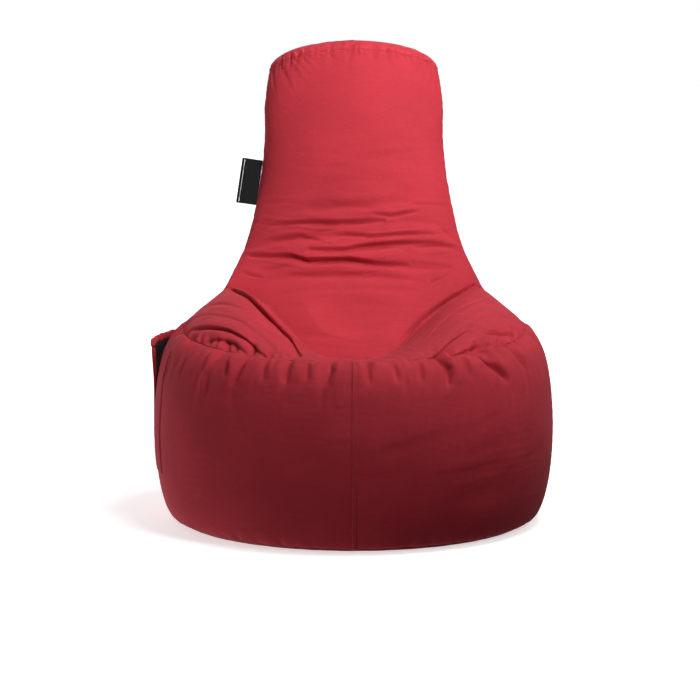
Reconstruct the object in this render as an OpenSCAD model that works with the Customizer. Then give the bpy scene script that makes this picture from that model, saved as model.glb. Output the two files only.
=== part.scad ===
// Bean bag chair: a sewn cover of seven cloth panels round a drum-shaped seat with a high back,
// a zipped rear seam, a side pocket, a carry handle, a sewn-in label, an inner bag and its bead fill.
// Right-handed frame in millimetres: +Z up, the sitter faces -Y, the origin on the floor under the middle.

/* [Drum] */
// Radius of the drum at its belly
drum_r = 427; // [400:1:450]
// Radius of the seam between wall and base
base_r = 381; // [360:1:390]
// Height of the seam between wall and base
base_h = 6; // [4:1:10]
// Height of the drum's widest line
belly_h = 195; // [170:5:220]
// Radius of the rim seam round the seat
rim_r = 370; // [355:1:380]
// Height of the rim seam at the front
rim_front_h = 390; // [375:1:410]
// Height of the rim seam at the rear
rim_rear_h = 436; // [420:1:450]
// Bearing from the front at which the side seams meet the rim
side_bearing = 116; // [110:1:122]
// Radius of the flattened strip down the rear that carries the zip
zip_r = 415; // [412:1:416]

/* [Seat] */
// Crown of the seat panel along its middle
seat_crown = 4; // [0:1:20]
// Extra crown over the arms
arm_crown = 42; // [20:1:46]
// Height of the domed top above its seam
cap_dome = 17; // [10:1:24]

/* [Cloth] */
// Thickness of the cover cloth with its backing
cloth = 2; // [1:0.5:2]
// Clearance between neighbouring layers and trims
gap = 0.3; // [0.2:0.1:0.5]
// Depth of the inner bag below the cover's face
liner_depth = 8; // [7:0.5:8]
// Thickness of the inner bag
liner = 0.8; // [0.5:0.1:0.8]

/* [Pocket] */
// Bearing of the pocket's front edge, on the left side
pocket_front = 73; // [68:1:78]
// Bearing of the pocket's rear edge
pocket_rear = 127; // [120:1:130]
// Height of the pocket's lower edge
pocket_low = 115; // [100:5:140]
// Height of the pocket's mouth
pocket_high = 372; // [355:1:375]
// Radius that the mouth stands out to
pocket_r = 431; // [430:1:434]

/* [Zip] */
// Lower end of the zip tapes
zip_low = 84; // [80:1:90]
// Upper end of the zip tapes
zip_high = 324; // [322:1:325]
// Distance between teeth on one tape
tooth_pitch = 4; // [4:0.5:5]
// Height of the closed slider's middle
slider_h = 304; // [296:1:306]

/* [Label and handle] */
// Height of the label's lower end on the left side seam
label_low = 655; // [640:1:690]
// Length of the label along the seam
label_len = 102; // [80:1:110]
// How far the label stands out of the seam
label_out = 42; // [30:1:50]
// Half the distance between the handle's legs
handle_half = 62; // [50:1:70]
// Height of the handle's hinge line
handle_h = 928; // [900:1:940]
// Drop of the hanging handle below its hinge line
handle_drop = 68; // [60:1:80]
// Width of the folded handle webbing
handle_w = 15; // [12:1:18]

/* [Hidden] */
red = "#c01f2e";
deep_red = "#a81a28";
black = "#17171a";
grey = "#3c3c42";
white = "#f2f2ee";
cols = 20;           // cells across each half of a ring
wall_rows = 12;
seat_rows = 5;
back_rows = 9;
cap_rows = 4;
core = [0, 0, 200];  // the point inside the drum that its layers shrink towards
crease_core = [0, 130, 100];  // the point that the layers along the crease shrink towards
core_drop = 110;     // how far the back's core lies below the middle of each of its rings
crease_reach = 0.3;  // share of the back over which its sharp crease rounds out

// side seams, [x, y, z] of the right one, from the crease's end to the head cap
side_line = [[283, 178, 482], [240, 228, 575], [214, 262, 690], [200, 284, 810], [191, 297, 895],
    [183, 304, 944]];
// middle of the back's front face, [y, z] from the crease to the head cap
front_line = [[8, 318], [128, 430], [178, 580], [198, 745], [219, 905], [236, 1003]];
// middle of the rear face, [y, z] over the same stretch
rear_line = [[396, 490], [404, 580], [405, 700], [403, 820], [398, 920], [386, 992]];

function mix(a, b, t) = a + (b - a) * t;
function clamp(x) = max(0, min(1, x));
function ease(x) = let (c = clamp(x)) c * c * (3 - 2 * c);
function unit(v) = v / norm(v);
function steps(a, b, n) = [for (i = [0:n]) mix(a, b, i / n)];
function turned(g) = [for (j = [0:len(g[0]) - 1]) [for (i = [0:len(g) - 1]) g[i][j]]];
function last(v) = v[len(v) - 1];

// smooth curve through points, t from 0 to 1
function curve(p, t) =
    let (n = len(p) - 1, x = clamp(t) * n, i = min(floor(x), n - 1), f = x - i,
        b = p[i], c = p[i + 1],
        a = i == 0 ? 2 * b - c : p[i - 1],
        d = i == n - 1 ? 2 * c - b : p[i + 2])
    0.5 * (2 * b + (c - a) * f + (2 * a - 5 * b + 4 * c - d) * f * f
        + (3 * b - a - 3 * c + d) * f * f * f);

// point at a bearing from the front, counter-clockwise seen from above
function polar(r, th, z) = [r * sin(th), -r * cos(th), z];
function rim_h(th) = mix(rim_front_h, rim_rear_h, (1 - cos(th)) / 2);
function inset(p, c, d) = p + d * unit(c - p);

// the cover's faces; s runs -1 to 1 from left to right, th is a bearing, t and v rise from 0 to 1
function wall_h(th, t) =
    belly_h + (t < 0.5 ? belly_h - base_h : rim_h(th) - belly_h) * sin(180 * t - 90);
function round_r(t) = let (edge = t < 0.5 ? base_r : rim_r) edge + (drum_r - edge) * cos(180 * t - 90);
function wall_r(th, t) =
    let (r = round_r(t), flat = 1 - ease((180 - abs(th) - 5) / 20)) mix(r, min(r, zip_r), flat);
function wall_pt(th, t) = polar(wall_r(th, t), th, wall_h(th, t));
function rim_pt(th) = polar(rim_r, th, rim_h(th));
function section(side, mid, s, power) =
    let (g = pow(max(cos(90 * s), 0), power))
    [side[0] * sin(90 * s), mix(side[1], mid[0], g), mix(side[2], mid[1], g)];
function back_pt(s, v) =
    section(curve(side_line, v), curve(front_line, v), s, 1 + 3 * pow(clamp(1 - v / crease_reach), 1.5));
function seat_pt(s, v) =
    let (crown = seat_crown + arm_crown * pow(sin(180 * abs(s)), 2),
        up = crown * (1 - pow(abs(2 * v - 1), 3)) * (1 - s * s))
    mix(rim_pt(side_bearing * s), back_pt(s, 0), v) + [0, 0, up];
function rear_pt(s, v) = section(curve(side_line, v), curve(rear_line, v), s, 1);
function low_rear_pt(s, v) = mix(rim_pt(180 - (180 - side_bearing) * s), rear_pt(s, 0), v);
function cap_pt(s, q) =
    mix(back_pt(s, 1), rear_pt(s, 1), q)
        + [0, 0, cap_dome * pow(1 - pow(2 * q - 1, 2), 0.6) * cos(90 * s)];
function ring_core(v) =
    let (m = (curve(front_line, v) + curve(rear_line, v)) / 2)
    mix(crease_core, [0, m[0], m[1] - core_drop], ease(v / crease_reach));
function low_core(v) = mix(core, crease_core, v);

// grids of points on those faces, sunk by depth d; the first index runs counter-clockwise or to the right
// the rear edges of the wall draw back where the teeth show between them
slot_deg = 1;
function slot(th, t) =
    abs(th) == 180 ? sign(th) * slot_deg * (1 - ease((abs(t - 0.5) - 1 / 6) * wall_rows)) : 0;
function wall_grid(d, ths, open = false) =
    [for (th = ths) [for (t = steps(0, 1, wall_rows))
        inset(wall_pt(th - (open ? slot(th, t) : 0), t), core, d)]];
function right_bearings() = [for (k = [0:cols]) k <= cols / 2 ? side_bearing * 2 * k / cols :
    side_bearing + (180 - side_bearing) * (2 * k / cols - 1)];
function left_bearings() = [for (k = [cols:-1:0]) -right_bearings()[k]];
function all_bearings() = concat(left_bearings(), [for (k = [1:cols]) right_bearings()[k]]);
function spread(a, b) = steps(a, b, abs(b - a) * cols / 2);
function seat_grid(d, a = -1, b = 1) =
    [for (s = spread(a, b)) [for (v = steps(0, 1, seat_rows)) inset(seat_pt(s, v), low_core(v), d)]];
function back_grid(d, a = -1, b = 1) =
    [for (s = spread(a, b)) [for (v = steps(0, 1, back_rows)) inset(back_pt(s, v), ring_core(v), d)]];
function low_rear_grid(d, a = -1, b = 1) =
    [for (s = spread(b, a)) [for (v = steps(0, 1, seat_rows)) inset(low_rear_pt(s, v), low_core(v), d)]];
function rear_grid(d, a = -1, b = 1) =
    [for (s = spread(b, a)) [for (v = steps(0, 1, back_rows)) inset(rear_pt(s, v), ring_core(v), d)]];
function cap_grid(d, a = -1, b = 1) =
    [for (s = spread(a, b)) [for (q = steps(0, 1, cap_rows)) inset(cap_pt(s, q), ring_core(1), d)]];
// ruled faces that close the lower and the upper fill
function floor_pt(th) = polar(base_r, th, base_h);
function floor_grid(d, a = -1, b = 1) =
    [for (s = spread(a, b)) let (rear = inset(floor_pt(180 - (180 - side_bearing) * s), core, d),
        front = inset(floor_pt(side_bearing * s), core, d))
        [for (q = steps(0, 1, cap_rows)) mix(rear, front, q)]];
function waist_grid(d) =
    [for (s = spread(-1, 1)) let (front = inset(back_pt(s, 0), crease_core, d),
        rear = inset(rear_pt(s, 0), crease_core, d))
        [for (q = steps(0, 1, cap_rows)) mix(front, rear, q)]];

// two grids joined along their shared row
function stacked(a, b) = [for (i = [0:len(a) - 1]) concat(a[i], [for (j = [1:len(b[i]) - 1]) b[i][j]])];

// one closed solid from grids whose rows, crossed with their columns, point outwards
function cell(g, i, j) = [g[i][j], g[i][j + 1], g[i + 1][j + 1], g[i + 1][j]];
function tris(g) = [for (i = [0:len(g) - 2], j = [0:len(g[0]) - 2]) let (c = cell(g, i, j))
    each [[c[0], c[1], c[2]], [c[0], c[2], c[3]]]];
function whole(t) = norm(t[0] - t[1]) > 0.01 && norm(t[1] - t[2]) > 0.01 && norm(t[2] - t[0]) > 0.01;
module closed(grids) {
    all = [for (g = grids, t = tris(g)) if (whole(t)) t];
    polyhedron([for (t = all) each t], [for (k = [0:len(all) - 1]) [3 * k, 3 * k + 1, 3 * k + 2]]);
}
function first_edge(o, i) = [i[0], o[0]];
function last_edge(o, i) = [last(o), last(i)];
function low_edge(o, i) = [turned(o)[0], turned(i)[0]];
function high_edge(o, i) = [last(turned(i)), last(turned(o))];
// a sheet of cloth between an outer and an inner grid
module sheet(outer, inner)
    closed([outer, turned(inner), first_edge(outer, inner), last_edge(outer, inner), low_edge(outer, inner),
        high_edge(outer, inner)]);

// ---- cover ----
module base_panel() color(deep_red)
    rotate_extrude($fn = 120)
        polygon([[0, 0], [base_r - 13, 0], [base_r - 3, base_h - 2], [base_r - 4, base_h - 0.5],
            [base_r - 14, cloth], [0, cloth]]);

module wall(ths) color(red) sheet(wall_grid(0, ths, true), wall_grid(cloth, ths, true));
module wall_left_panel() wall(left_bearings());
module wall_right_panel() wall(right_bearings());

module seat_panel() color(red) sheet(seat_grid(0), seat_grid(cloth));
module backrest_front_panel() color(red) sheet(back_grid(0), back_grid(cloth));
function rear_faces(d) = stacked(low_rear_grid(d), rear_grid(d));
module backrest_rear_panel() color(red) sheet(rear_faces(0), rear_faces(cloth));
module head_cap() color(red) sheet(cap_grid(0), cap_grid(cloth));

// raised, felled strip that covers the front seam of the wall
strip_half = 5.5;
module front_seam_strip() color(deep_red) {
    ths = steps(-1, 1, 2) * (strip_half / drum_r) * (180 / PI);
    sheet(wall_grid(-gap - 1.5, ths), wall_grid(-gap, ths));
}

// ---- inner bag and fill ----
// half of the inner bag, cut where its left and right halves are sewn together
function half_grids(d, a, b) = [wall_grid(d, a < 0 ? left_bearings() : right_bearings()), seat_grid(d, a, b),
    back_grid(d, a, b), cap_grid(d, a, b), floor_grid(d, a, b), low_rear_grid(d, a, b), rear_grid(d, a, b)];
module liner_half(a, b) color(white) {
    outer = half_grids(liner_depth, a, b);
    inner = half_grids(liner_depth + liner, a, b);
    is_right = b > 0;
    closed(concat(outer, [for (g = inner) turned(g)],
        [for (k = [0:4]) if (is_right || k == 0) first_edge(outer[k], inner[k])],
        [for (k = [0:4]) if (!is_right || k == 0) last_edge(outer[k], inner[k])],
        [for (k = [5, 6]) is_right ? last_edge(outer[k], inner[k]) : first_edge(outer[k], inner[k])]));
}
module liner_left_half() liner_half(-1, 0);
module liner_right_half() liner_half(0, 1);

fill_depth = liner_depth + liner + gap;
module bead_fill_seat() color(white)
    closed([wall_grid(fill_depth, all_bearings()), seat_grid(fill_depth), low_rear_grid(fill_depth),
        floor_grid(fill_depth), waist_grid(fill_depth)]);
module bead_fill_back() color(white)
    closed([back_grid(fill_depth), rear_grid(fill_depth), cap_grid(fill_depth),
        turned(waist_grid(fill_depth))]);

// ---- side pocket ----
pocket_cols = 12;
pocket_rows = 7;
pocket_off = 1.3;    // clearance that keeps the pocket's flat cells outside the wall's
pocket_cloth = 1.5;
hem_h = 14;
hem_extra = 1;       // how much thicker than the pocket the elastic hem is, on each face
function wall_r_at(th, z) =
    let (up = z > belly_h, u = (z - belly_h) / (up ? rim_h(th) - belly_h : belly_h - base_h),
        edge = up ? rim_r : base_r)
    edge + (drum_r - edge) * sqrt(1 - u * u);
function pocket_pt(th, z, off) =
    let (across = 1 - pow(2 * (th - pocket_front) / (pocket_rear - pocket_front) - 1, 4),
        up = ease((z - pocket_low) / (pocket_high - pocket_low)),
        sewn = wall_r_at(th, z) + pocket_off)
    polar(max(sewn, mix(sewn, pocket_r - pocket_cloth, across * up)) + off, -th, z);
function pocket_grid(z0, z1, rows, off) =
    [for (th = steps(pocket_rear, pocket_front, pocket_cols))
        [for (z = steps(z0, z1, rows)) pocket_pt(th, z, off)]];
module side_pocket() color(red)
    sheet(pocket_grid(pocket_low, pocket_high, pocket_rows, pocket_cloth),
        pocket_grid(pocket_low, pocket_high, pocket_rows, 0));
module pocket_hem() color(deep_red)
    sheet(pocket_grid(pocket_high, pocket_high + hem_h, 2, pocket_cloth + hem_extra),
        pocket_grid(pocket_high, pocket_high + hem_h, 2, -hem_extra));

// ---- label in the left side seam ----
label_t = 1;
label_off = 1;       // distance from the seam to the label's hinge line
function side_at(z) = let (v = side_share(z, 0, 1, 12)) curve(side_line, v);
function side_share(z, lo, hi, n) =
    let (m = (lo + hi) / 2) n == 0 ? m : curve(side_line, m)[2] < z ? side_share(z, m, hi, n - 1) :
    side_share(z, lo, m, n - 1);
label_foot = [-side_at(label_low)[0] - label_off, side_at(label_low)[1], label_low];
label_top = [-side_at(label_low + label_len)[0] - label_off, side_at(label_low + label_len)[1],
    label_low + label_len];
label_axis = unit(label_top - label_foot);
module side_label() color(black)
    translate(label_foot)
        rotate([-atan2(label_axis[1], label_axis[2]), asin(label_axis[0]), 0])
            translate([-label_out, -label_t / 2, 0]) cube([label_out, label_t, label_len]);

// ---- carry handle ----
tab_t = 1.2;
tab_half = 12.5;
tab_from = 0.835;    // share of the way up the rear face at which the sewn tabs start
tab_to = 0.92;
handle_t = 4;
handle_corner = 20;  // radius of the handle's lower corners, to the webbing's middle
hinge_y = 395.5;
leg_y = 404;         // inner face of the hanging legs
ear_h = 4;
ear_t = 2;
function tab_grid(x, off) =
    [for (k = steps(x + tab_half, x - tab_half, 2)) [for (v = steps(tab_from, tab_to, 2))
        inset(rear_pt(asin(k / curve(side_line, v)[0]) / 90, v), ring_core(v), -off)]];
module handle_tab(x) color(deep_red) sheet(tab_grid(x, gap + tab_t), tab_grid(x, gap));
module handle_tab_left() handle_tab(-handle_half);
module handle_tab_right() handle_tab(handle_half);

module handle_leg() {
    leg_top = handle_h - 24;
    leg_low = handle_h - handle_drop + handle_corner;
    hull() {
        translate([handle_half - tab_half, hinge_y - ear_t / 2, handle_h - ear_h])
            cube([2 * tab_half, ear_t, ear_h]);
        translate([handle_half - handle_t / 2, leg_y, leg_top]) cube([handle_t, handle_w, 2]);
    }
    translate([handle_half - handle_t / 2, leg_y, leg_low]) cube([handle_t, handle_w, leg_top - leg_low]);
    translate([handle_half - handle_corner, leg_y + handle_w, leg_low])
        rotate([90, 0, 0]) rotate([0, 0, -90]) rotate_extrude(angle = 90, $fn = 48)
            translate([handle_corner - handle_t / 2, 0]) square([handle_t, handle_w]);
}
module carry_handle() color(deep_red) {
    handle_leg();
    mirror([1, 0, 0]) handle_leg();
    bar = 2 * (handle_half - handle_corner);
    translate([-bar / 2, leg_y, handle_h - handle_drop - handle_t / 2]) cube([bar, handle_w, handle_t]);
}

// ---- zip down the rear of the wall ----
tape_y = zip_r - 4.6;
tape_t = 0.8;
tape_w = 17;
chain_y = tape_y + tape_t;
chain_t = 2.7;
tooth_w = 4.4;
tooth_over = 1;      // how far each tooth reaches past the middle
tooth_h = 1.7;
chain_low = 104;
chain_high = 314;
stop_h = 5;
slider_len = 14;
slider_half = 5.6;
slider_wall = 1.6;
plate_y = chain_y + chain_t + gap;
plate_t = 1.4;
pin_y = plate_y + plate_t + 2.4;
pin_r = 0.8;
eye_r = 2;
eye_w = 2.6;

module zip_tape() color(grey) translate([gap / 2, tape_y, zip_low])
    cube([tape_w, tape_t, zip_high - zip_low]);
module zip_tape_right() zip_tape();
module zip_tape_left() mirror([1, 0, 0]) zip_tape();

module zip_teeth(first) color(black)
    for (z = [first:tooth_pitch:chain_high])
        translate([-tooth_over, chain_y, z]) cube([tooth_w, chain_t, tooth_h]);
module zip_teeth_right() zip_teeth(chain_low);
module zip_teeth_left() mirror([1, 0, 0]) zip_teeth(chain_low + tooth_pitch / 2);

module zip_stop(z) color(grey) translate([-tooth_w + tooth_over, chain_y, z])
    cube([2 * (tooth_w - tooth_over), chain_t, stop_h]);
module zip_top_stop() zip_stop(chain_high + tooth_pitch);
module zip_bottom_stop() zip_stop(chain_low - stop_h - 1);

module zip_slider() color(grey) translate([0, 0, slider_h]) {
    translate([-slider_half, plate_y, -slider_len / 2]) cube([2 * slider_half, plate_t, slider_len]);
    for (side = [0, 1]) mirror([side, 0, 0]) {
        translate([slider_half - slider_wall, chain_y + gap, -slider_len / 2])
            cube([slider_wall, plate_y - chain_y - gap, slider_len]);
        translate([eye_w / 2 + gap, plate_y + plate_t, -2.5]) cube([1.4, pin_y - plate_y - plate_t + 1.6, 5]);
    }
    translate([-eye_w / 2 - gap - 1, pin_y, 0])
        rotate([0, 90, 0]) cylinder(r = pin_r, h = eye_w + 2 * gap + 2, $fn = 32);
}

module zip_puller() color(black) translate([0, pin_y, slider_h]) difference() {
    union() {
        translate([-eye_w / 2, 0, 0]) rotate([0, 90, 0]) cylinder(r = eye_r, h = eye_w, $fn = 32);
        translate([-eye_w / 2, -0.7, -9]) cube([eye_w, 1.4, 8]);
        translate([-4, -0.7, -30]) cube([8, 1.4, 21.5]);
    }
    translate([-eye_w, 0, 0]) rotate([0, 90, 0]) cylinder(r = pin_r + gap, h = 2 * eye_w, $fn = 32);
}

base_panel();
wall_left_panel();
wall_right_panel();
seat_panel();
backrest_front_panel();
backrest_rear_panel();
head_cap();
front_seam_strip();
liner_left_half();
liner_right_half();
bead_fill_seat();
bead_fill_back();
side_pocket();
pocket_hem();
side_label();
handle_tab_left();
handle_tab_right();
carry_handle();
zip_tape_left();
zip_tape_right();
zip_teeth_left();
zip_teeth_right();
zip_top_stop();
zip_bottom_stop();
zip_slider();
zip_puller();
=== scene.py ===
"""Looks of the bean bag chair: sewn cloth panels settled over the bead fill, with zip, pocket, handle and label.

Every length is in millimetres, as in the CAD source, until mesh_from() turns it into metres.
Bearings run from the front, counter-clockwise seen from above.
"""
import math

import bmesh
import bpy
import numpy as np
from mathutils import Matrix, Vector


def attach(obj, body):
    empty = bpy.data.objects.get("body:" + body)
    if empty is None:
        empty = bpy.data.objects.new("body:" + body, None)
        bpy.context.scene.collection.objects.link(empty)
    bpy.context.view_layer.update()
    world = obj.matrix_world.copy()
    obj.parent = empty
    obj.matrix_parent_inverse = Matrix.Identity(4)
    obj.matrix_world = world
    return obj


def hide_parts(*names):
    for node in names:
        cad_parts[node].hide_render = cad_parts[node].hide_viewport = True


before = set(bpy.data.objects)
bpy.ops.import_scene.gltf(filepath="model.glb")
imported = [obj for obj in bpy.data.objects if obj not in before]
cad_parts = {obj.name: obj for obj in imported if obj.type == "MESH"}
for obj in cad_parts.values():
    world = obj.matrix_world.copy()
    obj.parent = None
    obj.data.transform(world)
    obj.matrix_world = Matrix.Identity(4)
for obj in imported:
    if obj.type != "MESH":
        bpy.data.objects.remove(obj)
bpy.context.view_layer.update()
MM = 0.001

# ---------- the form, as in the CAD source apart from the fullness of the head ----------
DRUM_R, BASE_R, RIM_R, FLAT_R = 427.0, 381.0, 370.0, 415.0
BASE_H, BELLY_H, RIM_FRONT_H, RIM_REAR_H = 6.0, 195.0, 390.0, 436.0
SIDE_BEARING = 116.0
SEAT_CROWN, ARM_CROWN, CAP_DOME = 4.0, 42.0, 17.0
HEAD_FULLNESS, CAP_FULLNESS = 0.045, 5.0     # how much the filled head swells past the cut form: share of its width, mm
CORE = np.array([0.0, 0.0, 200.0])
CREASE_CORE = np.array([0.0, 130.0, 100.0])
CORE_DROP, CREASE_REACH = 110.0, 0.3
LOW_SHARE = 0.115     # share of the rear panel's height that lies between the rim and the side seams
SIDE_LINE = [[283, 178, 482], [240, 228, 575], [214, 262, 690], [200, 284, 810], [191, 297, 895], [183, 304, 944]]
FRONT_LINE = [[8, 318], [128, 430], [178, 580], [198, 745], [219, 905], [236, 1003]]
REAR_LINE = [[396, 490], [404, 580], [405, 700], [403, 820], [398, 920], [386, 992]]


def mix(a, b, t):
    return a + (b - a) * t


def ease(x):
    x = np.clip(x, 0, 1)
    return x * x * (3 - 2 * x)


def curve(points, t):
    """Smooth curve through points, t from 0 to 1."""
    p = np.asarray(points, float)
    n = len(p) - 1
    x = np.clip(np.asarray(t, float), 0, 1) * n
    i = np.minimum(x.astype(int), n - 1)
    f = (x - i)[..., None]
    b, c = p[i], p[i + 1]
    a = np.where((i == 0)[..., None], 2 * b - c, p[np.maximum(i - 1, 0)])
    d = np.where((i == n - 1)[..., None], 2 * c - b, p[np.minimum(i + 2, n)])
    return 0.5 * (2 * b + (c - a) * f + (2 * a - 5 * b + 4 * c - d) * f**2 + (3 * b - a - 3 * c + d) * f**3)


def polar(r, th, z):
    a = np.radians(th)
    return np.stack(np.broadcast_arrays(r * np.sin(a), -r * np.cos(a), z), -1)


def rim_h(th):
    return mix(RIM_FRONT_H, RIM_REAR_H, (1 - np.cos(np.radians(th))) / 2)


def wall_pt(th, t):
    a = np.radians(180 * t - 90)
    low = t < 0.5
    edge = np.where(low, BASE_R, RIM_R)
    r = edge + (DRUM_R - edge) * np.cos(a)
    z = BELLY_H + np.where(low, BELLY_H - BASE_H, rim_h(th) - BELLY_H) * np.sin(a)
    flat = 1 - ease((180 - np.abs(th) - 5) / 20)
    return polar(mix(r, np.minimum(r, FLAT_R), flat), th, z)


def section(side, mid, s, power):
    a = np.radians(90 * s)
    g = np.maximum(np.cos(a), 0) ** power
    head = 1 + HEAD_FULLNESS * ease((side[..., 2] - 790) / 90)
    y, z = mix(side[..., 1], mid[..., 0], g), mix(side[..., 2], mid[..., 1], g)
    return np.stack([head * side[..., 0] * np.sin(a), y, z], -1)


def back_pt(s, v):
    power = 1 + 3 * np.clip(1 - v / CREASE_REACH, 0, 1) ** 1.5
    return section(curve(SIDE_LINE, v), curve(FRONT_LINE, v), s, power)


def seat_pt(s, v):
    crown = SEAT_CROWN + ARM_CROWN * np.sin(np.pi * np.abs(s)) ** 2
    up = crown * (1 - np.abs(2 * v - 1) ** 3) * (1 - s * s)
    p = mix(polar(RIM_R, SIDE_BEARING * s, rim_h(SIDE_BEARING * s)), back_pt(s, 0 * v), v[..., None])
    return p + up[..., None] * np.array([0, 0, 1.0])


def rear_pt(s, v):
    return section(curve(SIDE_LINE, v), curve(REAR_LINE, v), s, 1)


def low_rear_pt(s, v):
    th = 180 - (180 - SIDE_BEARING) * s
    return mix(polar(RIM_R, th, rim_h(th)), rear_pt(s, 0 * v), v[..., None])


def cap_pt(s, q):
    up = CAP_DOME * (1 - (2 * q - 1) ** 2) ** 0.6 * np.cos(np.radians(90 * s))
    up = up + CAP_FULLNESS * (1 - (2 * q - 1) ** 2) ** 0.5 * (1 - np.abs(s) ** 5)
    return mix(back_pt(s, 1 + 0 * q), rear_pt(s, 1 + 0 * q), q[..., None]) + up[..., None] * np.array([0, 0, 1.0])


def ring_core(v):
    m = (curve(FRONT_LINE, v) + curve(REAR_LINE, v)) / 2
    high = np.stack([0 * m[..., 0], m[..., 0], m[..., 1] - CORE_DROP], -1)
    return mix(CREASE_CORE, high, ease(v / CREASE_REACH)[..., None])


def unit(v):
    return v / np.maximum(np.linalg.norm(v, axis=-1, keepdims=True), 1e-9)


# ---------- grids ----------
def seam_distances(p):
    """Distance in mm from every grid point to the grid's four edges, measured along the grid's lines."""
    du = np.linalg.norm(np.diff(p, axis=0), axis=-1)
    dv = np.linalg.norm(np.diff(p, axis=1), axis=-1)
    cu = np.concatenate([np.zeros((1, p.shape[1])), np.cumsum(du, 0)])
    cv = np.concatenate([np.zeros((p.shape[0], 1)), np.cumsum(dv, 1)], 1)
    return {"first": cu, "last": cu[-1:] - cu, "low": cv, "high": cv[:, -1:] - cv}


def outward(p):
    """Outward unit normals of a grid whose rows run counter-clockwise or to the right and columns upwards."""
    return unit(np.cross(np.gradient(p, axis=0), np.gradient(p, axis=1)))


def faces_of(n, m):
    k = np.arange(n * m).reshape(n, m)
    return np.stack([k[:-1, :-1], k[1:, :-1], k[1:, 1:], k[:-1, 1:]], -1).reshape(-1, 4)


def tube_faces(n, sides):
    """Quads round a tube of n rings of points, and the rings at its two ends."""
    k = np.arange(n * sides).reshape(n, sides)
    k = np.concatenate([k, k[:, :1]], 1)
    quads = np.stack([k[:-1, :-1], k[:-1, 1:], k[1:, 1:], k[1:, :-1]], -1).reshape(-1, 4)
    return quads, (k[0, :sides].tolist(), k[-1, :sides].tolist())


def placed(name, data):
    """A new object in the scene."""
    obj = bpy.data.objects.new(name, data)
    bpy.context.scene.collection.objects.link(obj)
    return obj


def mesh_from(name, points, faces):
    """An object from points in mm and faces, given as an array of quads or as a list."""
    me = bpy.data.meshes.new(name)
    me.from_pydata((points.reshape(-1, 3) * MM).tolist(), [], faces if isinstance(faces, list) else faces.tolist())
    me.validate()
    return placed(name, me)


# ---------- cloth ----------
FRAMES, PRESSURE, BEND, MOST_MOVE = 16, 6.0, 0.15, 14.0


def settled(grid):
    """A panel's cloth when it has settled: from where it starts, its larger cut, and its pull to where it starts."""
    _, p, cut, hold, _ = grid
    n, m = p.shape[:2]
    obj = mesh_from("settling", p, faces_of(n, m))
    obj.shape_key_add(name="Basis")
    key = obj.shape_key_add(name="cut")
    key.data.foreach_set("co", (cut.reshape(-1) * MM).astype(np.float32))
    group = obj.vertex_groups.new(name="hold")
    flat = hold.reshape(-1)
    for level in np.unique(np.round(flat, 2)):
        ids = np.nonzero(np.round(flat, 2) == level)[0]
        group.add(ids.tolist(), float(level), "REPLACE")
    cloth = obj.modifiers.new("Cloth", "CLOTH")
    s = cloth.settings
    s.quality, s.mass, s.air_damping = 6, 0.15, 4
    s.tension_stiffness = s.compression_stiffness = 20
    s.shear_stiffness, s.bending_stiffness = 6, BEND
    s.tension_damping = s.compression_damping = s.shear_damping = 8
    s.bending_damping = 1
    s.vertex_group_mass, s.pin_stiffness = "hold", 1.0
    s.rest_shape_key = key
    s.use_pressure, s.uniform_pressure_force = True, PRESSURE
    s.effector_weights.gravity = 0
    cloth.point_cache.frame_start, cloth.point_cache.frame_end = 1, FRAMES
    scene = bpy.context.scene
    for f in range(1, FRAMES + 1):
        scene.frame_set(f)
    out = np.empty(n * m * 3, np.float32)
    obj.evaluated_get(bpy.context.evaluated_depsgraph_get()).data.vertices.foreach_get("co", out)
    out = out.reshape(n, m, 3).astype(float) / MM
    bpy.data.objects.remove(obj)
    scene.frame_set(1)
    move = out - p
    far = np.linalg.norm(move, axis=-1, keepdims=True)
    return p + move * np.minimum(1, MOST_MOVE / np.maximum(far, 1e-6))


# ---------- seams ----------
def gathers(length, spacing, depth, reach, seed, wide):
    """Random gathers along a seam: places, depths, reaches and widths, in mm."""
    r = np.random.default_rng(seed)
    n = max(1, int(length / spacing))
    at = (np.arange(n) + r.uniform(-0.45, 0.45, n) + 0.5) * length / n
    return at, depth * r.uniform(0.15, 1, n) ** 1.5, reach * r.uniform(0.5, 1.2, n), r.uniform(*wide, n)


def pucker(along, away, made):
    """How far gathers sink the cloth at a distance along a seam and away from it."""
    out = np.zeros_like(along)
    for at, depth, reach, width in zip(*made):
        lean = 0.15 * away * math.sin(at)
        out += depth * np.exp(-(((along - at - lean) / (width + 0.12 * away)) ** 2)) * np.exp(-((away / reach) ** 2))
    return out


def crease(x, y, path, depth, width, ridge=0.5):
    """Depth of a pressed-in fold along a path in the plane x, y, strongest in its middle."""
    pts = np.array(path, float)
    best = np.full(x.shape, 1e9)
    side = np.zeros_like(x)
    share = np.zeros_like(x)
    lengths = np.linalg.norm(np.diff(pts, axis=0), axis=1)
    start = np.concatenate([[0], np.cumsum(lengths)])
    for k in range(len(pts) - 1):
        ax, ay = pts[k]
        bx, by = pts[k + 1]
        t = np.clip(((x - ax) * (bx - ax) + (y - ay) * (by - ay)) / lengths[k] ** 2, 0, 1)
        dx, dy = x - mix(ax, bx, t), y - mix(ay, by, t)
        d = np.hypot(dx, dy)
        near = d < best
        best = np.where(near, d, best)
        side = np.where(near, np.sign((bx - ax) * dy - (by - ay) * dx), side)
        share = np.where(near, (start[k] + t * lengths[k]) / start[-1], share)
    fade = np.sin(np.pi * np.clip(0.06 + 0.88 * share, 0, 1)) ** 0.7
    signed = best * side
    valley = np.exp(-((signed / width) ** 2))
    bulge = ridge * np.exp(-(((signed - 2.2 * width) / (1.8 * width)) ** 2))
    return depth * fade * (valley - bulge)


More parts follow.
